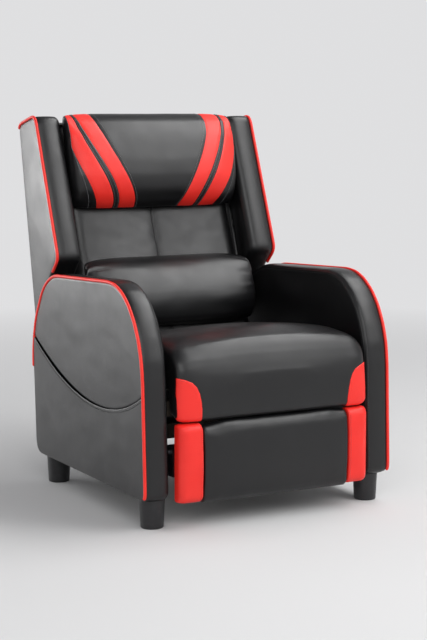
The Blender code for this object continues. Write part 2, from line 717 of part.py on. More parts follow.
def cushion_sections(stations, shape):
    """Rings across x, each from the side outline by a shape rule of x's share."""
    return [[(x, *shape(u, y, z)) for y, z in ring] for x, u, ring in stations]


def cushion_stations(outline, half_width, edge, drop, edge_steps, spans):
    """Places across a cushion: rounded ends, drawn in by a drop, and even steps between."""
    stations = []
    for k in range(edge_steps):
        turn = math.pi / 2 * k / edge_steps
        x = half_width - edge * (1 - math.cos(turn))
        stations.append((x, inset(outline, drop * (1 - math.sin(turn)))))
    for k in range(spans // 2 + 1):
        stations.append(((half_width - edge) * (1 - 2 * k / spans), outline))
    rows = [(x, x / half_width, ring) for x, ring in stations]
    mirrored = [(-x, -x / half_width, ring) for x, ring in stations[:-1]]
    return rows + mirrored[::-1]


def seat_outline():
    """The seat cushion seen from the side: a lip in front, a flat foot and a sloping top."""
    soft = SEAT_ROUNDING
    lip_back = SEAT_FRAME_FRONT_Y - CLEAR
    depth = SEAT_REAR_Y - SEAT_FRONT_Y
    corners = [
        (SEAT_FRONT_Y, SEAT_LIP_BOTTOM_Z),
        (lip_back, SEAT_LIP_BOTTOM_Z),
        (lip_back, SEAT_UNDERSIDE_Z),
        (SEAT_REAR_Y - soft, SEAT_UNDERSIDE_Z),
    ]
    corners += [(SEAT_FRONT_Y + depth * along, SEAT_FRONT_Z + soft * up)
                for along, up in SEAT_TOP_SHARES]
    cuts = [(soft * before, soft * after) for before, after in SEAT_ROUNDING_SHARES]
    return rounded([(place, *cut) for place, cut in zip(corners, cuts)], steps=5)


def seat_crown(u, y, z):
    """The seat's top is crowned across and its lip bows forward, most at the middle."""
    middle = (SEAT_UNDERSIDE_Z + SEAT_FRONT_Z) / 2
    lift = min(1.0, max(0.0, (z - middle) / (SEAT_FRONT_Z - middle)))
    along = (y - SEAT_FRONT_Y) / (SEAT_REAR_Y - SEAT_FRONT_Y)
    crown = SEAT_CROWN * (1 - u * u) * lift ** 2 * max(0.0, 1 - along ** 3)
    bow = SEAT_BOW * (1 - u * u) * max(0.0, 1 - (y - SEAT_FRONT_Y) / SEAT_ROUNDING)
    return y - bow, z + crown


def build_seat_cushion(chair):
    stations = cushion_stations(seat_outline(), SEAT_HALF_WIDTH, SEAT_EDGE, SEAT_EDGE_DROP, 4, 12)
    mesh = loft("seat_cushion", cushion_sections(stations, seat_crown))
    chair.add_piece("seat_cushion", mesh, "black_leather", "seat")


def footrest_outline(top_z):
    """The footrest seen from the side: soft front corners and a face in even steps."""
    face_y = FOOTREST_FRONT_Y + FOOTREST_CROWN
    soft = FOOTREST_ROUNDING
    tight = soft * FOOTREST_BACK_ROUNDING_SHARE
    corners = [
        ((face_y, FOOTREST_BOTTOM_Z), soft, soft),
        ((FOOTREST_BACK_Y, FOOTREST_BOTTOM_Z), tight, tight),
        ((FOOTREST_BACK_Y, top_z), tight, tight),
        ((face_y, top_z), soft, soft),
    ]
    outline = rounded(corners, steps=4)
    high = outline[-1][1]
    low = outline[0][1]
    return outline + [(face_y, high + (low - high) * k / 6) for k in range(1, 6)]


def footrest_bow(u, y, z):
    """The footrest's face bows forward, most at its middle."""
    middle = (FOOTREST_BOTTOM_Z + FOOTREST_TOP_Z) / 2
    reach = max(0.0, 1 - ((z - middle) / (FOOTREST_TOP_Z - middle)) ** 2)
    face = max(0.0, 1 - (y - FOOTREST_FRONT_Y - FOOTREST_CROWN) / FOOTREST_ROUNDING)
    return y - FOOTREST_CROWN * reach * face * (1 - u * u), z


def strip_rings(outline, x_seam, x_outer):
    """Rings of a side strip: a tight seam edge inward and a soft rounded side outward."""
    rings = []
    for k in range(3):
        turn = math.pi / 2 * k / 2
        rings.append((x_seam + FOOTREST_SEAM_EDGE * (1 - math.cos(turn)),
                      inset(outline, FOOTREST_SEAM_EDGE * (1 - math.sin(turn)))))
    middle = (FOOTREST_BOTTOM_Z + FOOTREST_TOP_Z) / 2
    for k in range(5):
        turn = math.pi / 2 * k / 4
        fill = 1 - (1 - STRIP_FILL_SHARE) * (1 - math.cos(turn))
        rise = 1 - (1 - STRIP_RISE_SHARE) * (1 - math.cos(turn))
        ring = [(FOOTREST_BACK_Y + (y - FOOTREST_BACK_Y) * fill, middle + (z - middle) * rise)
                for y, z in outline]
        rings.append((x_outer - FOOTREST_EDGE * (1 - math.sin(turn)), ring))
    return rings


def build_footrest(chair):
    half = FOOTREST_HALF_WIDTH
    seam = half - FOOTREST_STRIP
    outline = footrest_outline(FOOTREST_TOP_Z - FOOTREST_PAD_DROP)
    stations = cushion_stations(outline, seam - CLEAR, FOOTREST_SEAM_EDGE, FOOTREST_SEAM_EDGE, 2, 8)
    rows = [(x, x / half, ring) for x, _, ring in stations]
    mesh = loft("footrest_pad", cushion_sections(rows, footrest_bow))
    chair.add_piece("footrest_pad", mesh, "black_leather", "footrest")
    strip = strip_rings(footrest_outline(FOOTREST_TOP_Z), seam + CLEAR, half)
    for name, side in SIDES:
        rows = [(side * x, x / half, ring) for x, ring in strip]
        mesh = loft(f"{name}_footrest_strip", cushion_sections(rows, footrest_bow))
        chair.add_piece(f"{name}_footrest_strip", mesh, "red_leather", "footrest")
    front = FOOTREST_BACK_Y + CLEAR
    board = box_outline(front, front + FOOTREST_BOARD, FOOTREST_BOTTOM_Z + FOOTREST_BOARD_MARGIN,
                        FOOTREST_TOP_Z - FOOTREST_BOARD_MARGIN)
    mesh = board_across("footrest_board", board, half - FOOTREST_BOARD_MARGIN)
    chair.add_piece("footrest_board", mesh, "timber", "footrest")


def build_brackets(chair):
    """Footrest brackets: a plate with two pivots, and a flange on the board's back."""
    board_back = FOOTREST_BACK_Y + FOOTREST_BOARD + 2 * CLEAR
    lug = LINK_HALF_WIDTH
    low = LOWER_BRACKET[1] - 2 * lug
    high = UPPER_BRACKET[1] + 2 * lug
    plate = [(board_back, low), (LOWER_BRACKET[0], low), (LOWER_BRACKET[0] + lug, LOWER_BRACKET[1]),
             (UPPER_BRACKET[0] + lug, UPPER_BRACKET[1] + lug), (board_back + lug, high),
             (board_back, high)]
    flange = box_outline(board_back, board_back + PLATE, low, high)
    for name, side in SIDES:
        title = f"{name}_footrest_bracket"
        mesh = slab(title, plate, side, BRACKET_LAYER - PLATE, BRACKET_LAYER)
        bracket = chair.add_piece(title, mesh, "steel", "footrest")
        wing = slab("flange", flange, side, BRACKET_LAYER - BRACKET_FLANGE, BRACKET_LAYER - PIN_ROOT)
        combine(bracket, wing, "UNION")
        for centre in (LOWER_BRACKET, UPPER_BRACKET):
            add_pin(bracket, side, BRACKET_LAYER, REACH_LAYER, centre)


def build_linkage(chair):
    for name, side in SIDES:
        build_carry_link(chair, f"{name}_rear_link", side, REAR_PIVOT, REAR_JOINT,
                         (REAR_JOINT, UPPER_JOINT), "rear_link")
        build_carry_link(chair, f"{name}_front_link", side, FRONT_PIVOT, FRONT_JOINT,
                         (FRONT_JOINT,), "front_link")
        build_reach_link(chair, f"{name}_lower_link", side, REAR_JOINT, LOWER_BRACKET,
                         (REAR_JOINT, FRONT_JOINT, LOWER_BRACKET), "lower_link")
        build_reach_link(chair, f"{name}_upper_link", side, UPPER_JOINT, UPPER_BRACKET,
                         (UPPER_JOINT, UPPER_BRACKET), "upper_link")
    half = CARRY_LAYER - PLATE - CLEAR
    place = polar(REAR_PIVOT, TORQUE_TUBE_DROP, CARRY_LINK_START_DEG)
    rings = [disc_ring(x, place, TORQUE_TUBE_RADIUS, TORQUE_TUBE_SIDES) for x in (-half, half)]
    chair.add_piece("footrest_torque_tube", loft("footrest_torque_tube", rings), "steel", "rear_link")


def build_carry_link(chair, title, side, pivot, end, pins, body):
    mesh = slab(title, link_outline(pivot, end, LINK_HALF_WIDTH), side, CARRY_LAYER - PLATE, CARRY_LAYER)
    link = chair.add_piece(title, mesh, "steel", body)
    drill(link, side, CARRY_LAYER, pivot)
    for centre in pins:
        add_pin(link, side, CARRY_LAYER - PLATE, REACH_LAYER - PLATE, centre)


def build_reach_link(chair, title, side, start, end, holes, body):
    mesh = slab(title, link_outline(start, end, LINK_HALF_WIDTH), side, REACH_LAYER - PLATE, REACH_LAYER)
    link = chair.add_piece(title, mesh, "steel", body)
    for centre in holes:
        drill(link, side, REACH_LAYER, centre)


def wing_place(share):
    return (BACK_REACH * share[0], ARM_TOP_Z + (BACK_TOP_Z - ARM_TOP_Z) * share[1])


def wing_corners():
    """The wing's side outline: its foot lies behind and along the arm's rear slope."""
    arm_rear_top = Vector(arm_place(ARM_TOP_REAR_SHARE))
    slope = (Vector(arm_place(ARM_SLOPE_END_SHARE)) - arm_rear_top).normalized()
    beside = arm_rear_top + Vector((-slope.y, slope.x)) * WING_ARM_GAP
    foot_front = beside + slope * (WING_FOOT_Z - beside.y) / slope.y
    bend = beside + slope * ARM_RISE * WING_BEND_SHARE
    foot_rear = (BACK_REACH * WING_FOOT_REAR_SHARE, WING_FOOT_Z)
    places = [tuple(foot_front), foot_rear, wing_place(WING_TOP_REAR_SHARE),
              wing_place(WING_TOP_FRONT_SHARE), wing_place(WING_KINK_SHARE), tuple(bend)]
    return [(place, WING_THICKNESS * share, WING_THICKNESS * share)
            for place, share in zip(places, WING_ROUNDING_SHARES)]


def wing_outline():
    return rounded(wing_corners(), steps=4)


def wing_piping_path(side):
    """The piping runs from the back's top rear corner forward and down the wing's front."""
    path = piping_path(side, wing_outline(), WING_OUTER_X, WING_EDGE)
    foot_z = WING_FOOT_Z + ARM_RISE * WING_PIPING_FOOT_SHARE
    return [(x, y, z) for x, y, z in path if z > BACK_TOP_Z * WING_PIPING_TOP_SHARE
            or (y < BACK_REACH * WING_PIPING_REAR_SHARE and z > foot_z)]


def build_wings(chair):
    for name, side in SIDES:
        mesh = slab(f"{name}_wing", wing_outline(), side, WING_INNER_X, WING_OUTER_X,
                    inner_edge=WING_FRONT_EDGE, outer_edge=WING_EDGE)
        chair.add_piece(f"{name}_wing", mesh, "black_leather", "back")
        piping_mesh_object(chair, f"{name}_wing_piping", wing_piping_path(side), PIPING_RADIUS,
                           "red_leather", "back")


def pad_line(z, depth_share=0.0):
    """How far back the centre pad lies at a height, from its face, 0, to its back, 1."""
    share = (z - PAD_BOTTOM_Z) / (PAD_TOP_Z - PAD_BOTTOM_Z)
    foot = SEAT_REAR_Y + PAD_CROWN
    thickness = PAD_THICKNESS + (PAD_TOP_THICKNESS - PAD_THICKNESS) * share
    bend = PAD_BEND * math.sin(math.pi * min(max(share, 0.0), 1.0))
    return foot + (PAD_TOP_Y - foot) * share + bend * (1 - depth_share) + thickness * depth_share


def build_centre_pad(chair):
    steps = 12
    heights = [PAD_BOTTOM_Z + (PAD_TOP_Z - PAD_BOTTOM_Z) * k / steps for k in range(steps + 1)]
    front = [(pad_line(z), z) for z in heights]
    back = [(pad_line(z, 1.0), z) for z in (PAD_BOTTOM_Z, PAD_TOP_Z)]
    outline = back[:1] + front + back[1:]
    middle = (PAD_BOTTOM_Z + PAD_TOP_Z) / 2
    half_rise = PAD_TOP_Z - middle

    def shape(u, y, z):
        face = max(0.0, 1 - (y - pad_line(z)) / PAD_TOP_THICKNESS)
        reach = max(0.0, 1 - ((z - middle) / half_rise) ** 4)
        panel = 4 * abs(u) * (1 - abs(u))
        seam = PAD_SEAM_DEPTH * max(0.0, 1 - abs(u) / PAD_SEAM_WIDTH_SHARE)
        return y - face * reach * (PAD_CROWN * PAD_PANEL_CROWN_SHARE * panel - seam), z

    stations = cushion_stations(outline, PAD_HALF_WIDTH, PAD_EDGE, PAD_EDGE / 2, 2, 16)
    mesh = loft("back_centre_pad", cushion_sections(stations, shape))
    chair.add_piece("back_centre_pad", mesh, "black_leather", "back")


def rear_line(z):
    """The back's rear face, on the line of the wings' rear edges."""
    corners = wing_corners()
    low = corners[1][0]
    high = corners[2][0]
    return low[0] + (high[0] - low[0]) * (z - low[1]) / (high[1] - low[1])


def board_line(z):
    """The back board's front face: straight, just behind the pad."""
    low = pad_line(PAD_BOTTOM_Z, 1.0) + CLEAR
    high = pad_line(PAD_TOP_Z, 1.0) + CLEAR
    return low + (high - low) * (z - PAD_BOTTOM_Z) / (PAD_TOP_Z - PAD_BOTTOM_Z)


def back_wedge(front_gap, rear_gap, z_low, z_high, depth=None):
    front_low = board_line(z_low) + front_gap
    front_high = board_line(z_high) + front_gap
    rear_low = rear_line(z_low) - rear_gap
    rear_high = rear_line(z_high) - rear_gap
    if depth:
        rear_low = min(rear_low, front_low + depth)
        rear_high = min(rear_high, front_high + depth)
    return [(front_low, z_low), (rear_low, z_low), (rear_high, z_high), (front_high, z_high)]


def build_back_frame(chair):
    board_half = PAD_HALF_WIDTH - CLEAR
    outline = back_wedge(0.0, 0.0, PAD_BOTTOM_Z, PAD_TOP_Z, BACK_BOARD)
    chair.add_piece("back_board", board_across("back_board", outline, board_half), "timber", "back")
    behind = BACK_BOARD + CLEAR
    ahead = REAR_PANEL + CLEAR
    board_rise = UPRIGHT_WIDTH * RAIL_BOARD_SHARES[0]
    outline = back_wedge(behind, ahead, UPRIGHT_BOTTOM_Z, PAD_TOP_Z - UPRIGHT_WIDTH, board_rise)
    outer = WING_INNER_X - PAD_GAP - PLATE - CLEAR
    for name, side in SIDES:
        mesh = slab(f"{name}_back_upright", outline, side, outer - UPRIGHT_WIDTH, outer)
        chair.add_piece(f"{name}_back_upright", mesh, "timber", "back")
    half = outer - UPRIGHT_WIDTH - CLEAR
    places = (("back_bottom_rail", UPRIGHT_BOTTOM_Z + UPRIGHT_WIDTH),
              ("back_top_rail", PAD_TOP_Z - UPRIGHT_WIDTH * RAIL_BOARD_SHARES[1]))
    for name, z in places:
        outline = back_wedge(behind, ahead, z, z + board_rise, UPRIGHT_WIDTH)
        chair.add_piece(name, board_across(name, outline, half), "timber", "back")
    cap_z = PAD_TOP_Z + CLEAR
    top_z = cap_z + REAR_PANEL
    lap = pad_line(PAD_TOP_Z, REAR_PANEL_LAP_SHARE)
    panel = [(rear_line(REAR_PANEL_BOTTOM_Z) - REAR_PANEL, REAR_PANEL_BOTTOM_Z),
             (rear_line(REAR_PANEL_BOTTOM_Z), REAR_PANEL_BOTTOM_Z),
             (rear_line(top_z), top_z),
             (lap, top_z),
             (lap, cap_z),
             (rear_line(cap_z) - REAR_PANEL, cap_z)]
    mesh = board_across("back_rear_panel", panel, WING_INNER_X - CLEAR)
    chair.add_piece("back_rear_panel", mesh, "black_leather", "back")


def build_back_brackets(chair):
    """Steel brackets from the uprights' outer faces down to the recline pivots."""
    layer = WING_INNER_X - PAD_GAP
    top = polar(BACK_PIVOT, BRACKET_REACH, BRACKET_LEAN_DEG)
    for name, side in SIDES:
        title = f"{name}_back_bracket"
        mesh = slab(title, link_outline(BACK_PIVOT, top, BRACKET_HALF_WIDTH), side,
                    layer - PLATE, layer)
        bracket = chair.add_piece(title, mesh, "steel", "back")
        rings = [disc_ring(side * x, BACK_PIVOT, radius) for x, radius in (
            (layer - PIN_ROOT, BRACKET_STANDOFF_RADIUS),
            (RAIL_LAYER - PLATE - LAYER_GAP, BRACKET_STANDOFF_RADIUS),
            (RAIL_LAYER - PLATE - LAYER_GAP, PIN_RADIUS),
            (RAIL_LAYER + LAYER_GAP, PIN_RADIUS),
            (RAIL_LAYER + LAYER_GAP, HEAD_RADIUS),
            (RAIL_LAYER + LAYER_GAP + HEAD_THICKNESS, HEAD_RADIUS))]
        combine(bracket, loft("pivot", rings), "UNION")


def pinch(u):
    """How full a stuffed pillow is at a share of its half width."""
    return max(0.0, 1 - abs(u) ** PINCH_SHARES[0]) ** PINCH_SHARES[1]


def pillow_sections(outline, half_width, spans, end_shares):
    """Rings of a stuffed pillow whose ends draw in about the outline's middle."""
    middle_y = sum(y for y, _ in outline) / len(outline)
    middle_z = sum(z for _, z in outline) / len(outline)
    rings = []
    for k in range(spans + 1):
        u = -math.cos(math.pi * k / spans)
        fill, rise = [share + (1 - share) * pinch(u) for share in end_shares]
        rings.append([(half_width * u, middle_y + (y - middle_y) * fill,
                       middle_z + (z - middle_z) * rise) for y, z in outline])
    return rings


def lumbar_outline():
    """The lumbar cushion seen from the side: fullest low in front, lying on the pad behind."""
    bottom = LUMBAR_Z - LUMBAR_HEIGHT / 2
    outline = []
    for up, out in LUMBAR_FACE_SHARES:
        z = bottom + LUMBAR_HEIGHT * up
        outline.append((pad_line(z) - PILLOW_GAP - LUMBAR_DEPTH * out, z))
    for up in PILLOW_REAR_SHARES:
        z = bottom + LUMBAR_HEIGHT * up
        outline.append((pad_line(z) - PILLOW_GAP, z))
    return outline


def build_lumbar(chair):
    sections = pillow_sections(lumbar_outline(), LUMBAR_HALF_WIDTH, 20, LUMBAR_END_SHARES)
    chair.add_piece("lumbar_cushion", loft("lumbar_cushion", sections), "black_leather", "back")


def pillow_outline():
    """The head pillow seen from the side, lying on the pad and over the back's top."""
    rise = PILLOW_TOP_Z - PILLOW_BOTTOM_Z
    face = []
    for up, out in PILLOW_FACE_SHARES:
        z = PILLOW_BOTTOM_Z + rise * up
        face.append((pad_line(z) - PILLOW_GAP - PILLOW_DEPTH * out, z))
    rear = []
    for up in PILLOW_REAR_SHARES:
        z = PILLOW_BOTTOM_Z + rise * up
        rear.append((pad_line(min(z, PAD_TOP_Z)) - PILLOW_GAP, z))
    return face + rear


def build_pillow(chair):
    sections = pillow_sections(pillow_outline(), PILLOW_HALF_WIDTH, 20, PILLOW_END_SHARES)
    chair.add_piece("head_pillow", loft("head_pillow", sections), "black_leather", "back")


def depth_middle():
    """Half way between the footrest's front and the back's rearmost point."""
    wing = max(y for y, _ in wing_outline())
    piping = max(y for _, y, _ in wing_piping_path(1)) + PIPING_RADIUS
    panel = rear_line(PAD_TOP_Z + CLEAR + REAR_PANEL)
    return (max(wing, piping, panel) + FOOTREST_FRONT_Y) / 2


def add_bodies(chair):
    chair.add_body("chair", None, (0.0, 0.0))
    chair.empties["chair"].location = (0.0, -depth_middle(), 0.0)
    chair.add_body("base", "chair", (0.0, 0.0))
    chair.add_body("front_swing", "base", FRONT_SWING_TOP)
    chair.add_body("rear_swing", "base", REAR_SWING_TOP)
    chair.add_body("seat", "rear_swing", REAR_SWING_FOOT)
    chair.add_body("back", "seat", BACK_PIVOT)
    chair.add_body("rear_link", "seat", REAR_PIVOT)
    chair.add_body("front_link", "seat", FRONT_PIVOT)
    chair.add_body("lower_link", "rear_link", REAR_JOINT)
    chair.add_body("upper_link", "rear_link", UPPER_JOINT)
    chair.add_body("footrest", "lower_link", LOWER_BRACKET)


def main():
    clear_scene()
    chair = Chair()
    add_bodies(chair)
    build_arms(chair)
    build_feet(chair)
    build_pocket(chair)
    build_cross_members(chair)
    build_base_plates(chair)
    build_swing_links(chair)
    build_rails(chair)
    build_seat_frame(chair)
    build_seat_springs(chair)
    build_seat_cushion(chair)
    build_footrest(chair)
    build_brackets(chair)
    build_linkage(chair)
    build_wings(chair)
    build_centre_pad(chair)
    build_back_frame(chair)
    build_back_brackets(chair)
    build_lumbar(chair)
    build_pillow(chair)


main()
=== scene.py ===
"""The looks of a push-back gaming recliner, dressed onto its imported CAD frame.

Lengths are in metres in the CAD's frame: +Z up, the chair faces -Y, the sitter's right is -X.
Outlines seen from the side are arrays of (y, z).
"""

import json
import math

import bmesh
import bpy
import numpy as np
from mathutils import Matrix, Vector, noise
from mathutils.bvhtree import BVHTree
from mathutils.geometry import delaunay_2d_cdt


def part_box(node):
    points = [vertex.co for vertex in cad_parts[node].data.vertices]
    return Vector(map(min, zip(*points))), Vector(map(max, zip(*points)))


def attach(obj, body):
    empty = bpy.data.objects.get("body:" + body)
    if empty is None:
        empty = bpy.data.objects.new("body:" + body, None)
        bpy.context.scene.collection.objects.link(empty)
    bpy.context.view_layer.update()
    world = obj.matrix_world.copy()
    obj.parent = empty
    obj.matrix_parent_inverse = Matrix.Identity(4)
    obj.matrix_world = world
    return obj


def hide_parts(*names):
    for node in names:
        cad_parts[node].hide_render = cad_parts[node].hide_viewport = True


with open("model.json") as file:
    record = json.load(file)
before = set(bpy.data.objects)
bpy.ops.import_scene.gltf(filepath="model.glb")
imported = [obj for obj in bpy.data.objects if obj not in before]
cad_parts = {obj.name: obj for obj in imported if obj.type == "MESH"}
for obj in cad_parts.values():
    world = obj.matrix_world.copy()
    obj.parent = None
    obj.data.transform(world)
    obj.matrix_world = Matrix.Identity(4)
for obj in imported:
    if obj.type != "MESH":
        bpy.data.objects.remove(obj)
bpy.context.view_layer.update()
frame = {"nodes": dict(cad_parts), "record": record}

# The plane of the arms' front faces lies this far in front of the middle of the chair's box
FRONT_PLANE = -0.38703

SIDES = (("left", 1), ("right", -1))

# The x at which the outlines are cut from the CAD
ARM_CUT = 0.330
WING_CUT = 0.290
PAD_CUT = 0.235

# Bands carried round an outline: each ring's x, and how far it stands out of the outline
ARM_BAND = ((0.3424, -0.0026), (0.3406, -0.0008), (0.3370, 0.0006), (0.3300, 0.0018),
            (0.3200, 0.0026), (0.3080, 0.0028), (0.2970, 0.0022), (0.2900, 0.0010),
            (0.2862, -0.0004), (0.2838, -0.0022), (0.2826, -0.0040), (0.2818, -0.0052),
            (0.2808, -0.0056), (0.2802, -0.0072))
WING_BAND = ((0.3251, -0.0026), (0.3233, -0.0008), (0.3195, 0.0008), (0.3130, 0.0024),
             (0.3030, 0.0034), (0.2930, 0.0036), (0.2830, 0.0032), (0.2740, 0.0022),
             (0.2670, 0.0002), (0.2618, -0.0030), (0.2580, -0.0076), (0.2560, -0.0120))
# Where a band is eased away, its rings sink no deeper than this
BAND_EDGE = 0.0068

# The faces that close a band's ends: how far in from the edge, and x
ARM_SIDE = ((0.0004, 0.3432), (0.0015, 0.3446), (0.0035, 0.3455), (0.0080, 0.3460))
ARM_RECESS = ((0.0003, 0.3412), (0.0006, 0.3370), (0.0030, 0.3360))
ARM_INSIDE = ((0.0030, 0.2801), (0.0060, 0.2801))
WING_SIDE = ((0.0004, 0.3259), (0.0015, 0.3272), (0.0035, 0.3281), (0.0080, 0.3286))
WING_INSIDE = ((0.0012, 0.2552), (0.0030, 0.2546))

# The arms' stitching: each row's x, how far out of the outline, and its lean; then where it runs
ARM_SEAM_ROWS = ((0.2872, 0.0003, 0.35), (0.2801, -0.0105, 1.0))
ARM_SEAM_FOOT = 0.30
ARM_SEAM_FRONT = FRONT_PLANE + 0.03
ARM_SEAM_REAR = FRONT_PLANE + 0.60
SEAM_LIFT = 1.2

# The piping: its radius, the x of its middle, and where it runs
PIPING_RADIUS = 0.0040
PIPING_SINK = 0.0003
ARM_PIPING_X = 0.3450
ARM_PIPING_FRONT = FRONT_PLANE + 0.10
ARM_PIPING_FRONT_FOOT = 0.080
ARM_PIPING_REAR_FOOT = 0.308
WING_PIPING_X = 0.3277
WING_PIPING_REAR = FRONT_PLANE + 0.702
WING_PIPING_TOP = 0.937

# Thread: from stitch to stitch, a stitch's length, and the radius of a fine and of a bold one
STITCH_SPACING = 0.0042
STITCH_LENGTH = 0.0029
FINE_THREAD = 0.00042
BOLD_THREAD = 0.0006

# The side pocket: its mouth as (y from the arms' front plane, z), and how far it stands open
POCKET_MOUTH = ((0.046, 0.308), (0.140, 0.276), (0.226, 0.264), (0.315, 0.270), (0.438, 0.292),
                (0.568, 0.342), (0.662, 0.386))
POCKET_GAPS = ((0.0, 0.0008), (0.18, 0.0010), (0.34, 0.0026), (0.50, 0.0042), (0.62, 0.0034),
               (0.70, 0.0018))
POCKET_FACE = 0.3460
POCKET_FLOOR = 0.3366
POCKET_SEAM_DROP = 0.0075
POCKET_SEAM_RUN = (FRONT_PLANE + 0.022, FRONT_PLANE + 0.655)

# The edges of the panels beside the mouth: how far in from the outline, and x. The pocket's own
# panel is a thin sheet, cut under behind its lip.
FULL_ROLLS = ((0.0012, POCKET_FLOOR), (0.0002, POCKET_FLOOR + 0.003), (0.0, POCKET_FACE - 0.0030),
              (0.0005, POCKET_FACE - 0.0014), (0.0018, POCKET_FACE - 0.0004), (0.0042, POCKET_FACE),
              (0.0075, POCKET_FACE))
THIN_ROLLS = ((0.0150, POCKET_FLOOR), (0.0120, POCKET_FLOOR + 0.004),
              (0.0022, POCKET_FACE - 0.0022), (0.0003, POCKET_FACE - 0.0014),
              (0.0, POCKET_FACE - 0.0006), (0.0006, POCKET_FACE), (0.0020, POCKET_FACE),
              (0.0045, POCKET_FACE))

# Points of the CAD's meshes closer than this are one
WELD = 1e-6

# The studio's tones, straight ahead and overhead
BACKDROP = (0.74, 0.74, 0.75)
ZENITH = (0.20, 0.20, 0.21)


class Look:
    """The node tree of a material or world, and the nodes that its looks are made of."""

    def __init__(self, owner, places="Object"):
        owner.use_nodes = True
        self.owner = owner
        self.tree = owner.node_tree
        nodes = self.tree.nodes
        self.shader = nodes.get("Principled BSDF") or nodes["Background"]
        self.place = self.add("TexCoord").outputs[places]

    def set(self, node, **inputs):
        """Sets each input of a node to a value or links it to a socket; lower case is a setting."""
        for name, value in inputs.items():
            if name.islower():
                setattr(node, name, value)
            elif isinstance(value, bpy.types.NodeSocket):
                self.tree.links.new(value, node.inputs[name.replace("_", " ")])
            else:
                node.inputs[name.replace("_", " ")].default_value = value

    def add(self, kind, **inputs):
        made = self.tree.nodes.new(f"ShaderNode{kind}")
        self.set(made, **inputs)
        return made

    def made_of(self, **inputs):
        self.set(self.shader, **inputs)
        return self.owner

    def noise(self, scale, detail=3.0, distortion=0.0, roughness=0.5, place=None):
        return self.add("TexNoise", Vector=place or self.place, Scale=scale, Detail=detail,
                        Distortion=distortion, Roughness=roughness).outputs["Fac"]

    def grain(self, stretch, detail, distortion=0.0):
        """Noise drawn out along an axis."""
        places = self.add("Mapping", Vector=self.place, Scale=stretch).outputs["Vector"]
        return self.noise(1.0, detail, distortion, place=places)

    def range(self, value, low, high, start=0.3, end=0.7):
        return self.add("MapRange", Value=value, From_Min=start, From_Max=end,
                        To_Min=low, To_Max=high).outputs["Result"]

    def ramp(self, value, *stops):
        made = self.add("ValToRGB", Fac=value)
        ends = made.color_ramp.elements
        for end, (position, colour) in ((ends[0], stops[0]), (ends[1], stops[-1])):
            end.position, end.color = position, (*colour, 1.0)
        for position, colour in stops[1:-1]:
            ends.new(position).color = (*colour, 1.0)
        return made.outputs["Color"]

    def bumps(self, *heights):
        """Bumps on bumps: each height with its depth in metres and its strength."""
        below = {}
        for height, depth, strength in heights:
            bump = self.add("Bump", Height=height, Strength=strength, Distance=depth, **below)
            below = {"Normal": bump.outputs["Normal"]}
        return below["Normal"]

    def combine(self, operation, first, second):
        made = self.add("Math", operation=operation)
        self.tree.links.new(first, made.inputs[0])
        self.tree.links.new(second, made.inputs[1])
        return made.outputs["Value"]


def new_look(name):
    return Look(bpy.data.materials.new(name))


def leather(name, colour, worn, rough, coat=0.15):
    """Coated leather: pores, soft creases, and a slight change of tone and gloss."""
    look = new_look(name)
    tone = look.noise(7.0, 4.0, 0.3)
    gloss = look.noise(16.0)
    folds = look.noise(11.0, 2.0, 0.4)
    creases = look.noise(42.0, 4.0, 0.6, 0.55)
    pores = look.add("TexVoronoi", Vector=look.place, Scale=780.0, Randomness=0.9)
    return look.made_of(Base_Color=look.ramp(tone, (0.30, colour), (0.75, worn)), IOR=1.45,
                        Roughness=look.range(gloss, rough - 0.05, rough + 0.07),
                        Normal=look.bumps((folds, 0.0040, 0.056), (creases, 0.0009, 0.1575),
                                          (pores.outputs["Distance"], 0.00022, 0.55)),
                        Coat_Weight=coat, Coat_Roughness=0.22)


def brushed_steel():
    look = new_look("steel_finish")
    tone = look.ramp(look.noise(30.0, 5.0), (0.3, (0.12, 0.12, 0.13)), (0.7, (0.20, 0.20, 0.21)))
    streaks = look.grain((900.0, 40.0, 900.0), 2.0)
    return look.made_of(Base_Color=tone, Metallic=1.0, Roughness=look.range(streaks, 0.26, 0.46),
                        Normal=look.bumps((streaks, 0.00008, 0.5)))


def timber():
    """Timber with its grain along Y, its tone darkened to near black as painted shade where it
    shows between the upholstery.
    """
    look = new_look("timber_painted_shade_finish")
    grain = look.grain((60.0, 9.0, 60.0), 6.0, 1.2)
    # The near-black tones are painted shade; the grain and its change of tone are the wood's own.
    tone = look.ramp(grain, (0.30, (0.018, 0.013, 0.009)), (0.50, (0.030, 0.021, 0.014)),
                     (0.72, (0.044, 0.031, 0.020)))
    return look.made_of(Base_Color=tone, Roughness=look.range(grain, 0.60, 0.82),
                        Normal=look.bumps((grain, 0.0004, 0.5)))


def moulded_plastic():
    look = new_look("feet_finish")
    tone = look.ramp(look.noise(60.0), (0.3, (0.010, 0.010, 0.011)), (0.7, (0.018, 0.018, 0.020)))
    speck = look.noise(900.0, 2.0)
    return look.made_of(Base_Color=tone, Roughness=look.range(speck, 0.34, 0.50),
                        Normal=look.bumps((speck, 0.00012, 0.6)))


def woven_cloth():
    look = new_look("skirt_finish")
    waves = [look.add("TexWave", bands_direction=way, Vector=look.place, Scale=260.0,
                      Distortion=0.6).outputs["Fac"] for way in ("X", "Z")]
    weave = look.combine("MULTIPLY", *waves)
    tone = look.ramp(weave, (0.1, (0.008, 0.008, 0.009)), (0.8, (0.030, 0.030, 0.032)))
    return look.made_of(Base_Color=tone, Roughness=0.9, Sheen_Weight=0.25,
                        Normal=look.bumps((weave, 0.0004, 0.7)))


def thread(name, colour):
    look = new_look(name)
    twist = look.noise(2200.0, 2.0)
    light = tuple(value + (1.0 - value) * 0.10 for value in colour)
    return look.made_of(Base_Color=look.ramp(twist, (0.3, colour), (0.7, light)), Roughness=0.62,
                        Normal=look.bumps((twist, 0.00015, 0.6)))


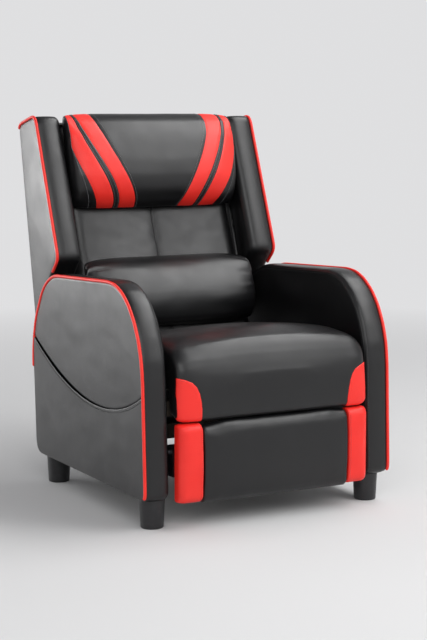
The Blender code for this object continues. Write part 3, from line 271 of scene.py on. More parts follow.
BLACK = leather("black_leather_finish", (0.0040, 0.0040, 0.0046), (0.0070, 0.0070, 0.0077), 0.35)
RED = leather("red_leather_finish", (0.85, 0.020, 0.013), (0.93, 0.032, 0.021), 0.44, 0.04)
STEEL = brushed_steel()
# The timber finish is darkened to near black as painted shade.
SHADE_DARKENED_TIMBER = timber()
PLASTIC = moulded_plastic()
CLOTH = woven_cloth()
BLACK_THREAD = thread("black_thread", (0.016, 0.016, 0.018))
GREY_THREAD = thread("grey_thread", (0.16, 0.16, 0.17))
RED_THREAD = thread("red_thread", (0.42, 0.012, 0.010))


def cut_line(node, x):
    """Where the plane at x cuts a node: its widest closed line."""
    build = bmesh.new()
    build.from_mesh(frame["nodes"][node].data)
    bmesh.ops.remove_doubles(build, verts=build.verts, dist=WELD)
    parts = build.verts[:] + build.edges[:] + build.faces[:]
    cut = bmesh.ops.bisect_plane(build, geom=parts, dist=1e-7, plane_co=(x, 0, 0),
                                 plane_no=(1, 0, 0))["geom_cut"]
    build.verts.index_update()
    edges = [edge for edge in cut if isinstance(edge, bmesh.types.BMEdge)]
    spots = {vert.index: (vert.co.y, vert.co.z) for edge in edges for vert in edge.verts}
    links = {index: [] for index in spots}
    for edge in edges:
        a, b = (vert.index for vert in edge.verts)
        links[a].append(b)
        links[b].append(a)
    build.free()
    lines = []
    waiting = sorted(links)
    while waiting:
        line = [waiting.pop(0)]
        while onward := sorted(index for index in links[line[-1]] if index in waiting):
            waiting.remove(onward[0])
            line.append(onward[0])
        lines.append(np.array([spots[index] for index in line]))
    line = max(lines, key=lambda found: float(np.ptp(found, axis=0).sum()))
    ahead = np.roll(line, -1, 0)
    area = (line[:, 0] * ahead[:, 1] - ahead[:, 0] * line[:, 1]).sum()
    return line if area > 0 else line[::-1]


def lengths(points):
    """How far along a path each of its points is."""
    return np.concatenate([[0.0], np.cumsum(np.linalg.norm(np.diff(points, axis=0), axis=1))])


def even(line, step, closed=True):
    """The line's points at even steps along it."""
    points = np.vstack([line, line[:1]]) if closed else np.array(line)
    along = lengths(points)
    at = np.linspace(0.0, along[-1], max(8, int(round(along[-1] / step))), endpoint=not closed)
    return np.stack([np.interp(at, along, points[:, i]) for i in range(points.shape[1])], axis=1)


def relax(line, passes):
    for _ in range(passes):
        line = line * 0.5 + (np.roll(line, 1, 0) + np.roll(line, -1, 0)) * 0.25
    return line


def outline_of(node, x, step, passes):
    """A CAD node's outline at x, with even points and softened corners."""
    return relax(even(cut_line(node, x), step), passes)


def outward(line):
    """Unit normals of a closed line that runs counter-clockwise."""
    ahead = np.roll(line, -1, 0) - np.roll(line, 1, 0)
    normal = np.stack([ahead[:, 1], -ahead[:, 0]], axis=1)
    return normal / np.linalg.norm(normal, axis=1)[:, None]


def run_of(line, keep):
    """The kept points of a closed line, from just after the gap on."""
    start = next(i for i in range(len(line)) if keep[i] and not keep[i - 1])
    return np.roll(line, -start, 0)[np.roll(keep, -start)]


def depth_inside(points, line):
    """How far points are from a closed line: positive inside it."""
    ahead = np.roll(line, -1, 0)
    along = ahead - line
    reach = points[:, None, :] - line[None]
    share = np.clip((reach * along).sum(-1) / (along * along).sum(-1), 0, 1)
    gap = np.linalg.norm(reach - share[..., None] * along, axis=-1).min(1)
    crosses = (line[:, 1] > points[:, None, 1]) != (ahead[:, 1] > points[:, None, 1])
    rise = np.where(np.abs(along[:, 1]) < 1e-12, 1e-12, along[:, 1])
    at = line[:, 0] + (points[:, None, 1] - line[:, 1]) / rise * along[:, 0]
    inside = ((crosses & (points[:, None, 0] < at)).sum(1) % 2) == 1
    return np.where(inside, gap, -gap)


def ripple(a, b, seed, size):
    return noise.noise(Vector((a / size, b / size, seed)))


def add_object(name, data):
    made = bpy.data.objects.new(name, data)
    bpy.context.scene.collection.objects.link(made)
    return made


def dress(mesh, *materials):
    mesh.materials.clear()
    for material in materials:
        mesh.materials.append(material)


def modify(piece, kind, **settings):
    modifier = piece.modifiers.new(kind.lower(), kind)
    for name, value in settings.items():
        setattr(modifier, name, value)
    return modifier


def rework(mesh, change, target=None):
    """Opens a mesh for a change, which goes back into it or into a new one."""
    build = bmesh.new()
    build.from_mesh(mesh)
    change(build)
    build.to_mesh(target or mesh)
    build.free()


def push(build, amount):
    """Moves each point along its normal by the amount that a rule gives."""
    build.normal_update()
    for vert, move in [(vert, vert.normal * amount(vert)) for vert in build.verts]:
        vert.co += move


class Shell:
    """Points and faces of one piece, gathered ring by ring, on one side of the chair."""

    def __init__(self, side=1):
        self.side = side
        self.points = []
        self.faces = []
        self.tones = []

    def ring(self, points):
        start = len(self.points)
        self.points += [tuple(float(value) for value in point) for point in points]
        return list(range(start, len(self.points)))

    def outline(self, x, spots):
        """A ring at one x from (y, z) spots."""
        return self.ring([(self.side * x, y, z) for y, z in spots])

    def face(self, corners, tone=0):
        self.faces.append(tuple(corners))
        self.tones.append(tone)

    def bridge(self, near, far, tone=0, closed=True):
        for i in range(len(near) if closed else len(near) - 1):
            j = (i + 1) % len(near)
            self.face((near[i], near[j], far[j], far[i]), tone)

    def loft(self, rings, closed=True):
        for near, far in zip(rings, rings[1:]):
            self.bridge(near, far, closed=closed)

    def fan(self, ring, centre):
        tip = self.ring([centre])[0]
        for i, here in enumerate(ring):
            self.face((here, ring[(i + 1) % len(ring)], tip))

    def fill(self, edge, line, height, step):
        """Fills a ring with triangles on an even grid; height gives x for (y, z) points."""
        low, high = line.min(0), line.max(0)
        rows = np.arange(low[1], high[1], step * 0.866)
        grid = np.array([(y + (k % 2) * step / 2, z) for k, z in enumerate(rows)
                         for y in np.arange(low[0], high[0], step)])
        inner = grid[depth_inside(grid, line) > 0.6 * step]
        corners = [Vector(spot) for spot in (*line, *inner)]
        count = len(line)
        bounds = [(i, (i + 1) % count) for i in range(count)]
        spots, _, faces, origins = delaunay_2d_cdt(corners, bounds, [], 1, 1e-9)[:4]
        heights = height(inner) if len(inner) else []
        index = edge + self.ring([(self.side * x, y, z) for x, (y, z) in zip(heights, inner)])
        named = [index[found[0]] if found
                 else self.outline(float(height(np.array([spot]))[0]), [spot])[0]
                 for spot, found in zip(spots, origins)]
        for face in faces:
            self.face([named[k] for k in face])

    def piece(self, name, *materials):
        mesh = bpy.data.meshes.new(name)
        mesh.from_pydata(self.points, [], self.faces)
        dress(mesh, *materials)
        mesh.polygons.foreach_set("material_index", self.tones)
        rework(mesh, lambda build: bmesh.ops.recalc_face_normals(build, faces=build.faces))
        mesh.shade_smooth()
        return add_object(name, mesh)


def fit(piece, body, *nodes, fill=None):
    """Rides a piece on its body and hides the CAD nodes that it stands for."""
    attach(piece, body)
    if nodes:
        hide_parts(*nodes)


def finish_cushion(piece, body, node, fill):
    modify(piece, "SUBSURF", levels=1, render_levels=1)
    fit(piece, body, node, fill=fill)


def band(shell, line, profile, share=None):
    """Rings of a closed line carried across x; share eases what stands out or sinks deep."""
    normal = outward(line)
    rings = []
    for x, lift in profile:
        out = np.full(len(line), lift)
        if share is not None:
            deep = min(0.0, lift + BAND_EDGE)
            out = (max(0.0, lift) + deep) * share + min(0.0, lift) - deep
        spots = line + normal * out[:, None]
        rings.append((shell.outline(x, spots), spots))
    shell.loft([ring for ring, _ in rings])
    return rings


def close(shell, ring, steps, bulge=0.0, step=0.012, seed=0.0, wobble=0.0004):
    """Closes a ring with a padded face: steps give each inner ring's inset and x."""
    edges, line = [ring[0]], ring[1]
    for inward, x in steps:
        spots = line - outward(line) * inward
        edges.append(shell.outline(x, spots))
    shell.loft(edges)

    def height(points):
        swell = 1 - np.exp(-depth_inside(points, spots) / 0.05)
        waves = np.array([ripple(y, z, seed, 0.09) + 0.5 * ripple(y, z, seed + 5, 0.04)
                          for y, z in points])
        return x + (bulge + wobble * waves * 2) * swell

    shell.fill(edges[-1], spots, height, step)


def stitches(shell, path, lift, radius=FINE_THREAD):
    """Thread lying along a path: lift gives the surface's normal at each point."""
    points = np.hstack([np.array(path, float), np.array(lift, float)])
    along = lengths(points[:, :3])
    for k in range(int(along[-1] / STITCH_SPACING)):
        middle = (k + 0.5) * STITCH_SPACING
        ends = [np.array([np.interp(at, along, points[:, i]) for i in range(6)])
                for at in (middle - STITCH_LENGTH / 2, middle + STITCH_LENGTH / 2)]
        start, end = Vector(ends[0][:3]), Vector(ends[1][:3])
        up = Vector(ends[0][3:] + ends[1][3:]).normalized()
        ahead = (end - start).normalized()
        across = ahead.cross(up) * radius
        rise = up * radius
        bends = [start.lerp(end, share) + rise * 0.35 for share in (0.16, 0.84)]
        rings = [shell.ring([spot + across, spot + rise, spot - across, spot - rise])
                 for spot in bends]
        shell.loft(rings)
        shell.fan(rings[0], start - rise * 0.6)
        shell.fan(rings[1], end - rise * 0.6)


def tube(shell, path, radius, sides=10):
    """A round cord with rounded ends, along a path in a plane of one x."""
    path = np.array(path, float)
    ahead = np.gradient(path, axis=0)
    ahead /= np.linalg.norm(ahead, axis=1)[:, None]
    across = np.array((1.0, 0.0, 0.0))
    turns = [2 * math.pi * (k + 0.5) / sides for k in range(sides)]
    rows = [(0, -0.85, 0.5), (0, -0.45, 0.88)] + [(i, 0.0, 1.0) for i in range(len(path))]
    rows += [(-1, 0.45, 0.88), (-1, 0.85, 0.5)]
    rings = []
    for i, slide, size in rows:
        up = np.cross(ahead[i], across)
        centre = path[i] + ahead[i] * slide * radius
        rings.append(shell.ring([centre + radius * size * (across * math.cos(t) + up * math.sin(t))
                                 for t in turns]))
    shell.loft(rings)
    shell.fan(rings[0], path[0] - ahead[0] * radius)
    shell.fan(rings[-1], path[-1] + ahead[-1] * radius)


def make_cord(part, side, line, x, body, keep):
    """The red piping along a part's edge, wherever keep says so of (y, z)."""
    fine = relax(even(line - outward(line) * PIPING_SINK, 0.005), 1)
    path = run_of(fine, [keep(y, z) for y, z in fine])
    cord = Shell()
    tube(cord, [(side * x, y, z) for y, z in path], PIPING_RADIUS)
    fit(cord.piece(f"{part}_cord", RED), body, f"{part}_piping")


def run_seam(seams, line, x, lift, keep, lean=0.0):
    """Stitching at x along an outline's kept points, lifted out of it and leaning to the side."""
    normal = outward(line)
    path = run_of(np.hstack([line + normal * lift, normal]), keep)
    up = SEAM_LIFT - abs(lean)
    stitches(seams, [(x, y, z) for y, z, _, _ in path],
             [(lean, ny * up, nz * up) for _, _, ny, nz in path])


def make_back_seams(name, line, places, lift, keep):
    """Upright seams over the back at each x, where keep says so of the normal's y and of z."""
    seams = Shell()
    kept = [keep(lean, z) for lean, z in zip(outward(line)[:, 0], line[:, 1])]
    for x in places:
        run_seam(seams, line, x, lift, kept)
    fit(seams.piece(name, BLACK_THREAD), "back")


def make_arm(name, side):
    part = f"{name}_arm"
    line = outline_of(f"{part}_cover", side * ARM_CUT, 0.007, 3)
    shell = Shell(side)
    rings = band(shell, line, ARM_BAND)
    if side > 0:
        close(shell, rings[0], ARM_SIDE, bulge=0.0016, seed=2.0)
    else:
        close(shell, rings[0], ARM_RECESS, step=0.03, wobble=0.0)
        make_pocket(shell, line, side)
    close(shell, rings[-1], ARM_INSIDE, step=0.016, wobble=0.0)
    fit(shell.piece(f"{part}_upholstery", BLACK), "base", f"{part}_cover", fill=0.9)
    seams = Shell()
    keep = [(z > ARM_SEAM_FOOT and y < ARM_SEAM_REAR) or y < ARM_SEAM_FRONT for y, z in line]
    for x, lift, lean in ARM_SEAM_ROWS:
        run_seam(seams, line, side * x, lift, keep, -side * lean)
    fit(seams.piece(f"{part}_stitching", BLACK_THREAD), "base")
    make_cord(part, side, line, ARM_PIPING_X, "base",
              lambda y, z: z > ARM_PIPING_REAR_FOOT
              or (y < ARM_PIPING_FRONT and z > ARM_PIPING_FRONT_FOOT))


# The mouth's z as a smooth rule of y
MOUTH_RULE = np.polyfit([y + FRONT_PLANE for y, _ in POCKET_MOUTH], [z for _, z in POCKET_MOUTH], 4)


def pocket_gap(y):
    return np.interp(y - FRONT_PLANE, *zip(*POCKET_GAPS))


def part_line(line, above):
    """The part of an outline above or below the pocket's mouth."""
    def edge(y):
        return np.polyval(MOUTH_RULE, y) - (0.0 if above else pocket_gap(y))

    kept = run_of(line, (line[:, 1] > edge(line[:, 0])) == above)
    span = np.linspace(kept[-1][0], kept[0][0], 140)[1:-1]
    return relax(even(np.vstack([kept, np.stack([span, edge(span)], axis=1)]), 0.005), 2)


def pocket_gape(points):
    """How far the pocket's mouth stands off the arm at a place."""
    under = np.maximum(0.0, np.polyval(MOUTH_RULE, points[:, 0]) - points[:, 1])
    return 0.9 * pocket_gap(points[:, 0]) * np.exp(-under / 0.035)


def padded_sheet(shell, line, gape, rolls):
    """A thin padded panel on the arm's side with rolled edges all round."""
    edges = []
    for k, (inward, x) in enumerate(rolls):
        spots = line - outward(line) * inward
        off = gape(spots) * min(1.0, k / 2)
        edges.append(shell.ring([(shell.side * (x + lift), y, z)
                                 for lift, (y, z) in zip(off, spots)]))
        if k == 0:
            shell.fill(edges[0], spots, lambda found: np.full(len(found), rolls[0][1]), 0.03)
    shell.loft(edges)

    def height(points):
        swell = 1 - np.exp(-depth_inside(points, spots) / 0.04)
        waves = np.array([ripple(y, z, 3.0, 0.11) + 0.5 * ripple(y * 0.6, z, 8.0, 0.045)
                          for y, z in points])
        return POCKET_FACE + (0.0012 + 0.0011 * waves) * swell + gape(points)

    shell.fill(edges[-1], spots, height, 0.009)


def make_pocket(arm_shell, line, side):
    """The arm's panel above the mouth, and the pocket's own panel with its stitching."""
    rim = even(line - outward(line) * 0.0030, 0.003)
    padded_sheet(arm_shell, part_line(rim, True), lambda points: np.zeros(len(points)), FULL_ROLLS)
    shell = Shell(side)
    padded_sheet(shell, part_line(rim, False), pocket_gape, THIN_ROLLS)
    fit(shell.piece("side_pocket_panel", BLACK), "base", "side_pocket", fill=0.2)
    seams = Shell()
    span = np.linspace(*POCKET_SEAM_RUN, 130)
    z = np.polyval(MOUTH_RULE, span) - pocket_gap(span) - POCKET_SEAM_DROP
    x = POCKET_FACE + 0.0006 + pocket_gape(np.stack([span, z], axis=1))
    stitches(seams, [(side * a, y, b) for a, y, b in zip(x, span, z)],
             [(side, 0.0, 0.0)] * len(span), BOLD_THREAD)
    fit(seams.piece("side_pocket_stitching", BLACK_THREAD), "base")


def make_wing(name, side):
    part = f"{name}_wing"
    line = outline_of(part, side * WING_CUT, 0.0055, 3)
    share = 0.25 + 0.75 * np.clip(-outward(line)[:, 0] * 1.4, 0, 1)
    share = share * (1 - 0.7 * ease(0.606, 0.592, line[:, 1]))
    shell = Shell(side)
    rings = band(shell, line, WING_BAND, share)
    close(shell, rings[0], WING_SIDE, bulge=0.0014, seed=4.0)
    close(shell, rings[-1], WING_INSIDE, step=0.016, wobble=0.0)
    fit(shell.piece(f"{part}_upholstery", BLACK), "back", part, fill=0.9)
    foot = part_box(f"{part}_piping")[0].z + PIPING_RADIUS
    make_cord(part, side, line, WING_PIPING_X, "back",
              lambda y, z: z > WING_PIPING_TOP or (y < WING_PIPING_REAR and z > foot))


def mirrored(profile):
    return profile + [(-x, lift) for x, lift in profile[::-1] if x > 0]


PAD_HALF = 0.2525
PAD_ENDS = (0.0, 0.0016, 0.0042, 0.0080, 0.0126, 0.0180, 0.0240)
# How the pad dips into its centre seam: x, and the lift there
PAD_SEAM = [(0.0066, 0.0005), (0.0038, 0.0002), (0.0021, -0.0006), (0.0009, -0.0020),
            (0.0, -0.0024)]


def make_centre_pad():
    line = outline_of("back_centre_pad", PAD_CUT, 0.006, 2)
    profile = []
    for x in [PAD_HALF - end for end in PAD_ENDS] + list(np.linspace(0.220, 0.012, 20)):
        u = x / PAD_HALF
        drop = 0.025 * max(0.0, 1 - (PAD_HALF - x) / 0.036) ** 2
        profile.append((float(x), 0.0050 * 4 * u * (1 - u) + 0.0006 - drop))
    share = np.clip(-outward(line)[:, 0] * 1.5, 0, 1)
    shell = Shell()
    rings = band(shell, line, mirrored(profile + PAD_SEAM), share)
    for ring, x in ((rings[0], PAD_HALF), (rings[-1], -PAD_HALF)):
        close(shell, ring, ((0.0030, x), (0.0060, x)), step=0.02, wobble=0.0)
    pad = shell.piece("back_centre_cushion", BLACK)
    wrinkle(pad, 0.0010, 0.05, 11.0)
    fit(pad, "back", "back_centre_pad", fill=0.7)
    make_back_seams("back_centre_stitching", line, (-0.0054, 0.0054), 0.0003,
                    lambda lean, z: lean < -0.5 and 0.42 < z < 0.93)


def wrinkle(piece, depth, size, seed, where=lambda spot: 1.0):
    """Moves a piece's points in or out by a smooth noise."""
    def amount(vert):
        wave = noise.noise(vert.co / size + Vector((seed, 0, 0)))
        wave += 0.5 * noise.noise(vert.co * 2.3 / size + Vector((0, seed, 0)))
        return depth * wave * where(vert.co)

    rework(piece.data, lambda build: push(build, amount))


def read_points(mesh):
    points = np.zeros(len(mesh.vertices) * 3, np.float32)
    mesh.vertices.foreach_get("co", points)
    return points.reshape(-1, 3).astype(float)


def write_points(mesh, points):
    mesh.vertices.foreach_set("co", np.asarray(points, np.float32).ravel())
    mesh.update()


def shift(piece, axis, rule):
    """Moves a piece's points along an axis by what a rule gives for them."""
    points = read_points(piece.data)
    points[:, axis] += rule(points)
    write_points(piece.data, points)


def spread(mesh, moves, passes):
    """Evens out a field of moves along a mesh's edges."""
    ends = np.zeros(len(mesh.edges) * 2, np.int32)
    mesh.edges.foreach_get("vertices", ends)
    here, there = ends.reshape(-1, 2).T
    count = np.bincount(ends, minlength=len(moves))[:, None]
    for _ in range(passes):
        total = np.zeros_like(moves)
        np.add.at(total, here, moves[there])
        np.add.at(total, there, moves[here])
        moves = moves * 0.5 + total / np.maximum(count, 1) * 0.5
    return moves


def lay(piece, path):
    """The nearest places on a finished piece's surface, and its normals there."""
    surface = BVHTree.FromObject(piece, bpy.context.evaluated_depsgraph_get())
    return zip(*[surface.find_nearest(Vector(spot))[:2] for spot in path])


def sew(name, piece, paths, material, body, radius=FINE_THREAD):
    """Stitching laid on a finished piece along each path."""
    shell = Shell()
    for path in paths:
        stitches(shell, *lay(piece, path), radius)
    fit(shell.piece(name, material), body)


CLOTH_FRAMES = 20
CLOTH_SETTINGS = {"quality": 5, "mass": 0.3, "tension_stiffness": 25.0,
                  "compression_stiffness": 25.0, "shear_stiffness": 10.0,
                  "bending_stiffness": 2.0, "use_pressure": True, "uniform_pressure_force": 4.0,
                  "vertex_group_mass": "held", "pin_stiffness": 1.0}


def inflate(piece, held, cap, soften):
    """Swells a piece as stuffed cloth: held gives each point's hold, from 0 to 1."""
    mesh = piece.data
    rest = read_points(mesh)
    group = piece.vertex_groups.new(name="held")
    for index, weight in enumerate(np.clip(held(rest), 0, 1)):
        if weight > 0:
            group.add([index], float(weight), "REPLACE")
    cloth = modify(piece, "CLOTH")
    for name, value in CLOTH_SETTINGS.items():
        setattr(cloth.settings, name, value)
    cloth.settings.effector_weights.gravity = 0.0
    cloth.collision_settings.use_collision = False
    cloth.point_cache.frame_start = 1
    cloth.point_cache.frame_end = CLOTH_FRAMES
    scene = bpy.context.scene
    for at in range(1, CLOTH_FRAMES + 1):
        scene.frame_set(at)
    swollen = piece.evaluated_get(bpy.context.evaluated_depsgraph_get())
    moved = read_points(swollen.data) - rest
    piece.modifiers.remove(cloth)
    scene.frame_set(1)
    length = np.linalg.norm(moved, axis=1)
    moved *= (np.minimum(length, cap) / np.maximum(length, 1e-9))[:, None]
    piece.vertex_groups.clear()
    write_points(mesh, rest + spread(mesh, moved, soften))


def soft_copy(name, node, voxel, passes, shrink, *materials):
    """An even, softened copy of a CAD node, a little smaller than the node."""
    mesh = bpy.data.meshes.new(name)
    rework(frame["nodes"][node].data,
           lambda build: bmesh.ops.remove_doubles(build, verts=build.verts, dist=WELD), mesh)
    piece = add_object(name, mesh)
    modify(piece, "REMESH", mode="VOXEL", voxel_size=voxel)
    modify(piece, "SMOOTH", factor=0.5, iterations=passes)
    shown = piece.evaluated_get(bpy.context.evaluated_depsgraph_get())
    piece.data = bpy.data.meshes.new_from_object(shown)
    piece.modifiers.clear()
    dress(piece.data, *materials)
    rework(piece.data, lambda build: push(build, lambda vert: -shrink))
    piece.data.shade_smooth()
    return piece


def ease(low, high, value):
    share = np.clip((value - low) / (high - low), 0.0, 1.0)
    return share * share * (3 - 2 * share)


# How far the seat's front lip hangs down below the CAD's
SEAT_LIP_DROP = 0.0075


def make_seat():
    seat = soft_copy("seat_cushion_upholstery", "seat_cushion", 0.007, 3, 0.0006, BLACK)
    low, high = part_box("seat_cushion")

    def held(points):
        bottom = 1 - ease(0.325, 0.345, points[:, 2])
        lip = 1 - ease(FRONT_PLANE + 0.020, FRONT_PLANE + 0.040, points[:, 1])
        lip_hold = 1 - ease(low.z + 0.006, low.z + 0.030, points[:, 2])
        rear = ease(high.y - 0.05, high.y - 0.02, points[:, 1])
        return np.where(lip > 0.5, lip_hold, bottom) + rear

    def hang(points):
        lip = 1 - ease(FRONT_PLANE + 0.006, FRONT_PLANE + 0.022, points[:, 1])
        return -SEAT_LIP_DROP * lip * (1 - ease(0.268, 0.340, points[:, 2]))

    shift(seat, 2, hang)
    inflate(seat, held, 0.0035, 16)
    wrinkle(seat, 0.0007, 0.10, 21.0)
    for name, side in SIDES:
        make_patch(f"{name}_seat_patch", side, seat)
    finish_cushion(seat, "seat", "seat_cushion", 0.85)


# The seat's red corner patches: their curved edge as (x, z), their other bounds, and how far they
# and their rims stand off the seat
PATCH_LINE = ((0.2040, 0.255), (0.2048, 0.285), (0.2072, 0.306), (0.2112, 0.325), (0.2180, 0.341),
              (0.2290, 0.3525), (0.2460, 0.3605), (0.2700, 0.3660))
PATCH_SIDE = 0.2650
PATCH_REAR = FRONT_PLANE + 0.003
PATCH_FOOT = 0.2590
PATCH_LIFT = 0.0011
PATCH_RIM_LIFT = 0.0002
PATCH_WALL = 0.0022
PATCH_SEAM_INSET = 0.0042


def trim(build, place, away):
    """Drops what lies beyond a plane."""
    parts = build.verts[:] + build.edges[:] + build.faces[:]
    bmesh.ops.bisect_plane(build, geom=parts, dist=1e-5, plane_co=place, plane_no=away,
                           clear_outer=True)


def make_patch(name, side, seat):
    """A red panel over a front corner of the seat, cut from the seat's own surface."""
    def near_corner(place):
        return place.x * side > 0.18 and place.y < FRONT_PLANE + 0.05 and place.z < 0.39

    def cut(build):
        edges = [edge for edge in build.edges if near_corner(edge.verts[0].co)]
        bmesh.ops.subdivide_edges(build, edges=edges, cuts=1, use_grid_fill=True, smooth=1.0)
        for (x0, z0), (x1, z1) in zip(PATCH_LINE, PATCH_LINE[1:]):
            trim(build, (x0 * side, 0, z0), (-(z1 - z0) * side, 0, x1 - x0))
        trim(build, (PATCH_SIDE * side, 0, 0), (side, 0, 0))
        trim(build, (0, PATCH_REAR, 0), (0, 1, 0))
        trim(build, (0, 0, PATCH_FOOT), (0, 0, -1))
        rim = {vert for edge in build.edges if edge.is_boundary for vert in edge.verts}
        push(build, lambda vert: PATCH_RIM_LIFT if vert in rim else PATCH_LIFT)

    mesh = bpy.data.meshes.new(name)
    rework(seat.data, cut, mesh)
    dress(mesh, RED)
    mesh.shade_smooth()
    patch = add_object(name, mesh)
    modify(patch, "SOLIDIFY", thickness=PATCH_WALL, offset=-1.0)
    fit(patch, "seat")
    line = [(x, z) for x, z in PATCH_LINE if z > 0.27 and x < PATCH_SIDE] + [(0.262, 0.3645)]
    line = even(line, 0.003, closed=False)
    ahead = np.gradient(line, axis=0)
    across = np.stack([ahead[:, 1], -ahead[:, 0]], 1) / np.linalg.norm(ahead, axis=1)[:, None]
    path = [(side * x, FRONT_PLANE - 0.012, z) for x, z in line + across * PATCH_SEAM_INSET]
    sew(f"{name}_stitching", patch, [path], RED_THREAD, "seat")


def make_footrest():
    pad = soft_copy("footrest_pad_upholstery", "footrest_pad", 0.005, 2, 0.0002, BLACK)

    def raised(points):
        """The pad's top stands higher than the CAD's, and less so at its ends."""
        x = points[:, 0]
        dip = 0.010 * ease(0.12, 0.2037, -x) + 0.004 * ease(0.14, 0.2037, x)
        return ease(0.205, 0.243, points[:, 2]) * (0.0145 - dip)

    def held(points):
        behind = ease(FRONT_PLANE - 0.012, FRONT_PLANE + 0.004, points[:, 1])
        seam = ease(0.1990, 0.2030, np.abs(points[:, 0]))
        return behind + seam

    shift(pad, 2, raised)
    inflate(pad, held, 0.0025, 24)
    wrinkle(pad, 0.0010, 0.07, 31.0, lambda spot: float(ease(0.17, 0.24, spot.z)) + 0.25)
    finish_cushion(pad, "footrest", "footrest_pad", 0.7)
    for name, side in SIDES:
        make_strip(f"{name}_footrest_strip", side)


def make_strip(node, side):
    """A red strip beside the footrest's pad."""
    strip = soft_copy(f"{node}_upholstery", node, 0.003, 1, 0.0, RED)

    def shortened(points):
        foot = 1 - ease(0.058, 0.120, points[:, 2])
        return 0.005 * foot - 0.0045 * ease(0.200, 0.259, points[:, 2])

    def held(points):
        behind = ease(FRONT_PLANE - 0.008, FRONT_PLANE + 0.006, points[:, 1])
        seam = 1 - ease(0.2055, 0.2095, np.abs(points[:, 0]))
        return behind + seam

    shift(strip, 2, shortened)
    inflate(strip, held, 0.002, 8)
    wrinkle(strip, 0.0004, 0.05, 41.0)
    finish_cushion(strip, "footrest", node, 0.6)
    path = [(side * 0.2085, FRONT_PLANE - 0.04, z) for z in np.linspace(0.066, 0.250, 60)]
    sew(f"{node}_stitching", strip, [path], RED_THREAD, "footrest")


# How far the back leans: y by z
BACK_LEAN = 0.28


def pinch(u):
    return np.maximum(0.0, 1 - np.abs(u) ** 5) ** 0.42


def stuffed(name, line, half, shares, columns, warp, tones, materials, ripples, grooves=()):
    """A stuffed cushion: an outline carried across x and drawn in at its ends.

    Columns run from -1 to 1, and warp gives their places. Shares are the depth and height left at
    the ends, ripples the folds' depth, and grooves each sewn channel's column, depth and width.
    """
    middle = line.mean(0)
    shares = np.array(shares)
    rise = (line[:, 1] - line[:, 1].min()) / np.ptp(line[:, 1])
    turn = np.linspace(0, 2 * math.pi, len(line), endpoint=False)
    normal = outward(line)
    shell = Shell()
    rings = []
    for column in columns:
        u = warp(column, rise)
        kept = shares + (1 - shares) * pinch(u)[:, None]
        folds = ripples * ease(0.66, 0.97, np.abs(u))
        swing = np.array([ripple(math.cos(t) * 1.6, math.sin(t) * 1.6 + np.sign(column), 7.0, 0.33)
                          for t in turn])
        sink = sum(depth * np.exp(-((np.abs(column) - place) * half / width) ** 2)
                   for place, depth, width in grooves) if grooves else 0.0
        out = folds * swing - sink
        spots = middle + (line - middle) * kept + normal * out[:, None]
        rings.append(shell.ring(zip(half * u, *spots.T)))
    for k, (near, far) in enumerate(zip(rings, rings[1:])):
        shell.bridge(near, far, tones(abs(columns[k] + columns[k + 1]) / 2))
    for ring, way in ((rings[0], -1), (rings[-1], 1)):
        spots = np.array([shell.points[index] for index in ring])
        centre = spots.mean(0)
        caps = [ring]
        for share, out in ((0.86, 0.0025), (0.6, 0.0045), (0.3, 0.0055)):
            moved = centre + (spots - centre) * share
            moved[:, 0] += way * out * half / 0.24
            caps.append(shell.ring(moved))
        shell.loft(caps)
        shell.fan(caps[-1], centre + np.array([way * 0.006 * half / 0.24, 0, 0]))
    return shell.piece(name, *materials)


def hold_rear(points, y, z, start, end, seam_end):
    """Holds what lies from start to end behind the leaning plane through (y, z), and the ends."""
    behind = points[:, 1] - (y + (points[:, 2] - z) * BACK_LEAN)
    return ease(start, end, behind) + ease(0.236, seam_end, np.abs(points[:, 0]))


def tuck_under(line, reach, depth):
    """Draws in the foot of a cushion's front, up to a share of its height."""
    rise = (line[:, 1] - line[:, 1].min()) / np.ptp(line[:, 1])
    ahead = np.clip(-outward(line)[:, 0] * 2.0, 0, 1)
    moved = line.copy()
    moved[:, 0] += depth * ahead * np.clip(1 - rise / reach, 0, 1) ** 1.4
    return relax(even(moved, 0.006), 1)


LUMBAR_HALF = 0.2466
LUMBAR_MIDDLE_Z = 0.504


def make_lumbar():
    line = tuck_under(outline_of("lumbar_cushion", 0.0, 0.006, 2), 0.50, 0.020)
    steps = np.linspace(-1, 1, 65)
    columns = np.sin(steps * math.pi / 2) * 0.5 + steps * 0.5
    lumbar = stuffed("lumbar_upholstery", line, LUMBAR_HALF, (0.28, 0.80), columns,
                     lambda c, _: np.full(len(line), c), lambda c: 0, (BLACK,), 0.0028)
    rear = line[:, 0].max()
    inflate(lumbar, lambda points: hold_rear(points, rear - 0.028, LUMBAR_MIDDLE_Z, -0.02, 0.0,
                                             0.245), 0.005, 5)
    wrinkle(lumbar, 0.0010, 0.08, 51.0)
    finish_cushion(lumbar, "back", "lumbar_cushion", 0.8)


# Where the pillow's stripes start and end across it, as shares of its half width
STRIPE_HEIGHTS = (0.0, 0.12, 0.5, 0.92, 1.0)
STRIPE_EDGES = {
    "inner_start": (0.27, 0.30, 0.500, 0.665, 0.69),
    "inner_end": (0.46, 0.49, 0.680, 0.862, 0.88),
    "outer_start": (0.53, 0.56, 0.750, 0.902, 0.92),
    "outer_end": (0.72, 0.76, 0.955, 0.990, 0.992),
}
# The columns that the stripes' edges fall on, and how many columns each span between them has
STRIPE_COLUMNS = (0.0, 0.40, 0.60, 0.68, 0.90, 1.0)
SPAN_COUNTS = (14, 8, 5, 8, 5)
PILLOW_HALF = 0.2480
PILLOW_SHIFT = 0.0030
PILLOW_SEAMS = (0.372, 0.618, 0.662, 0.935)


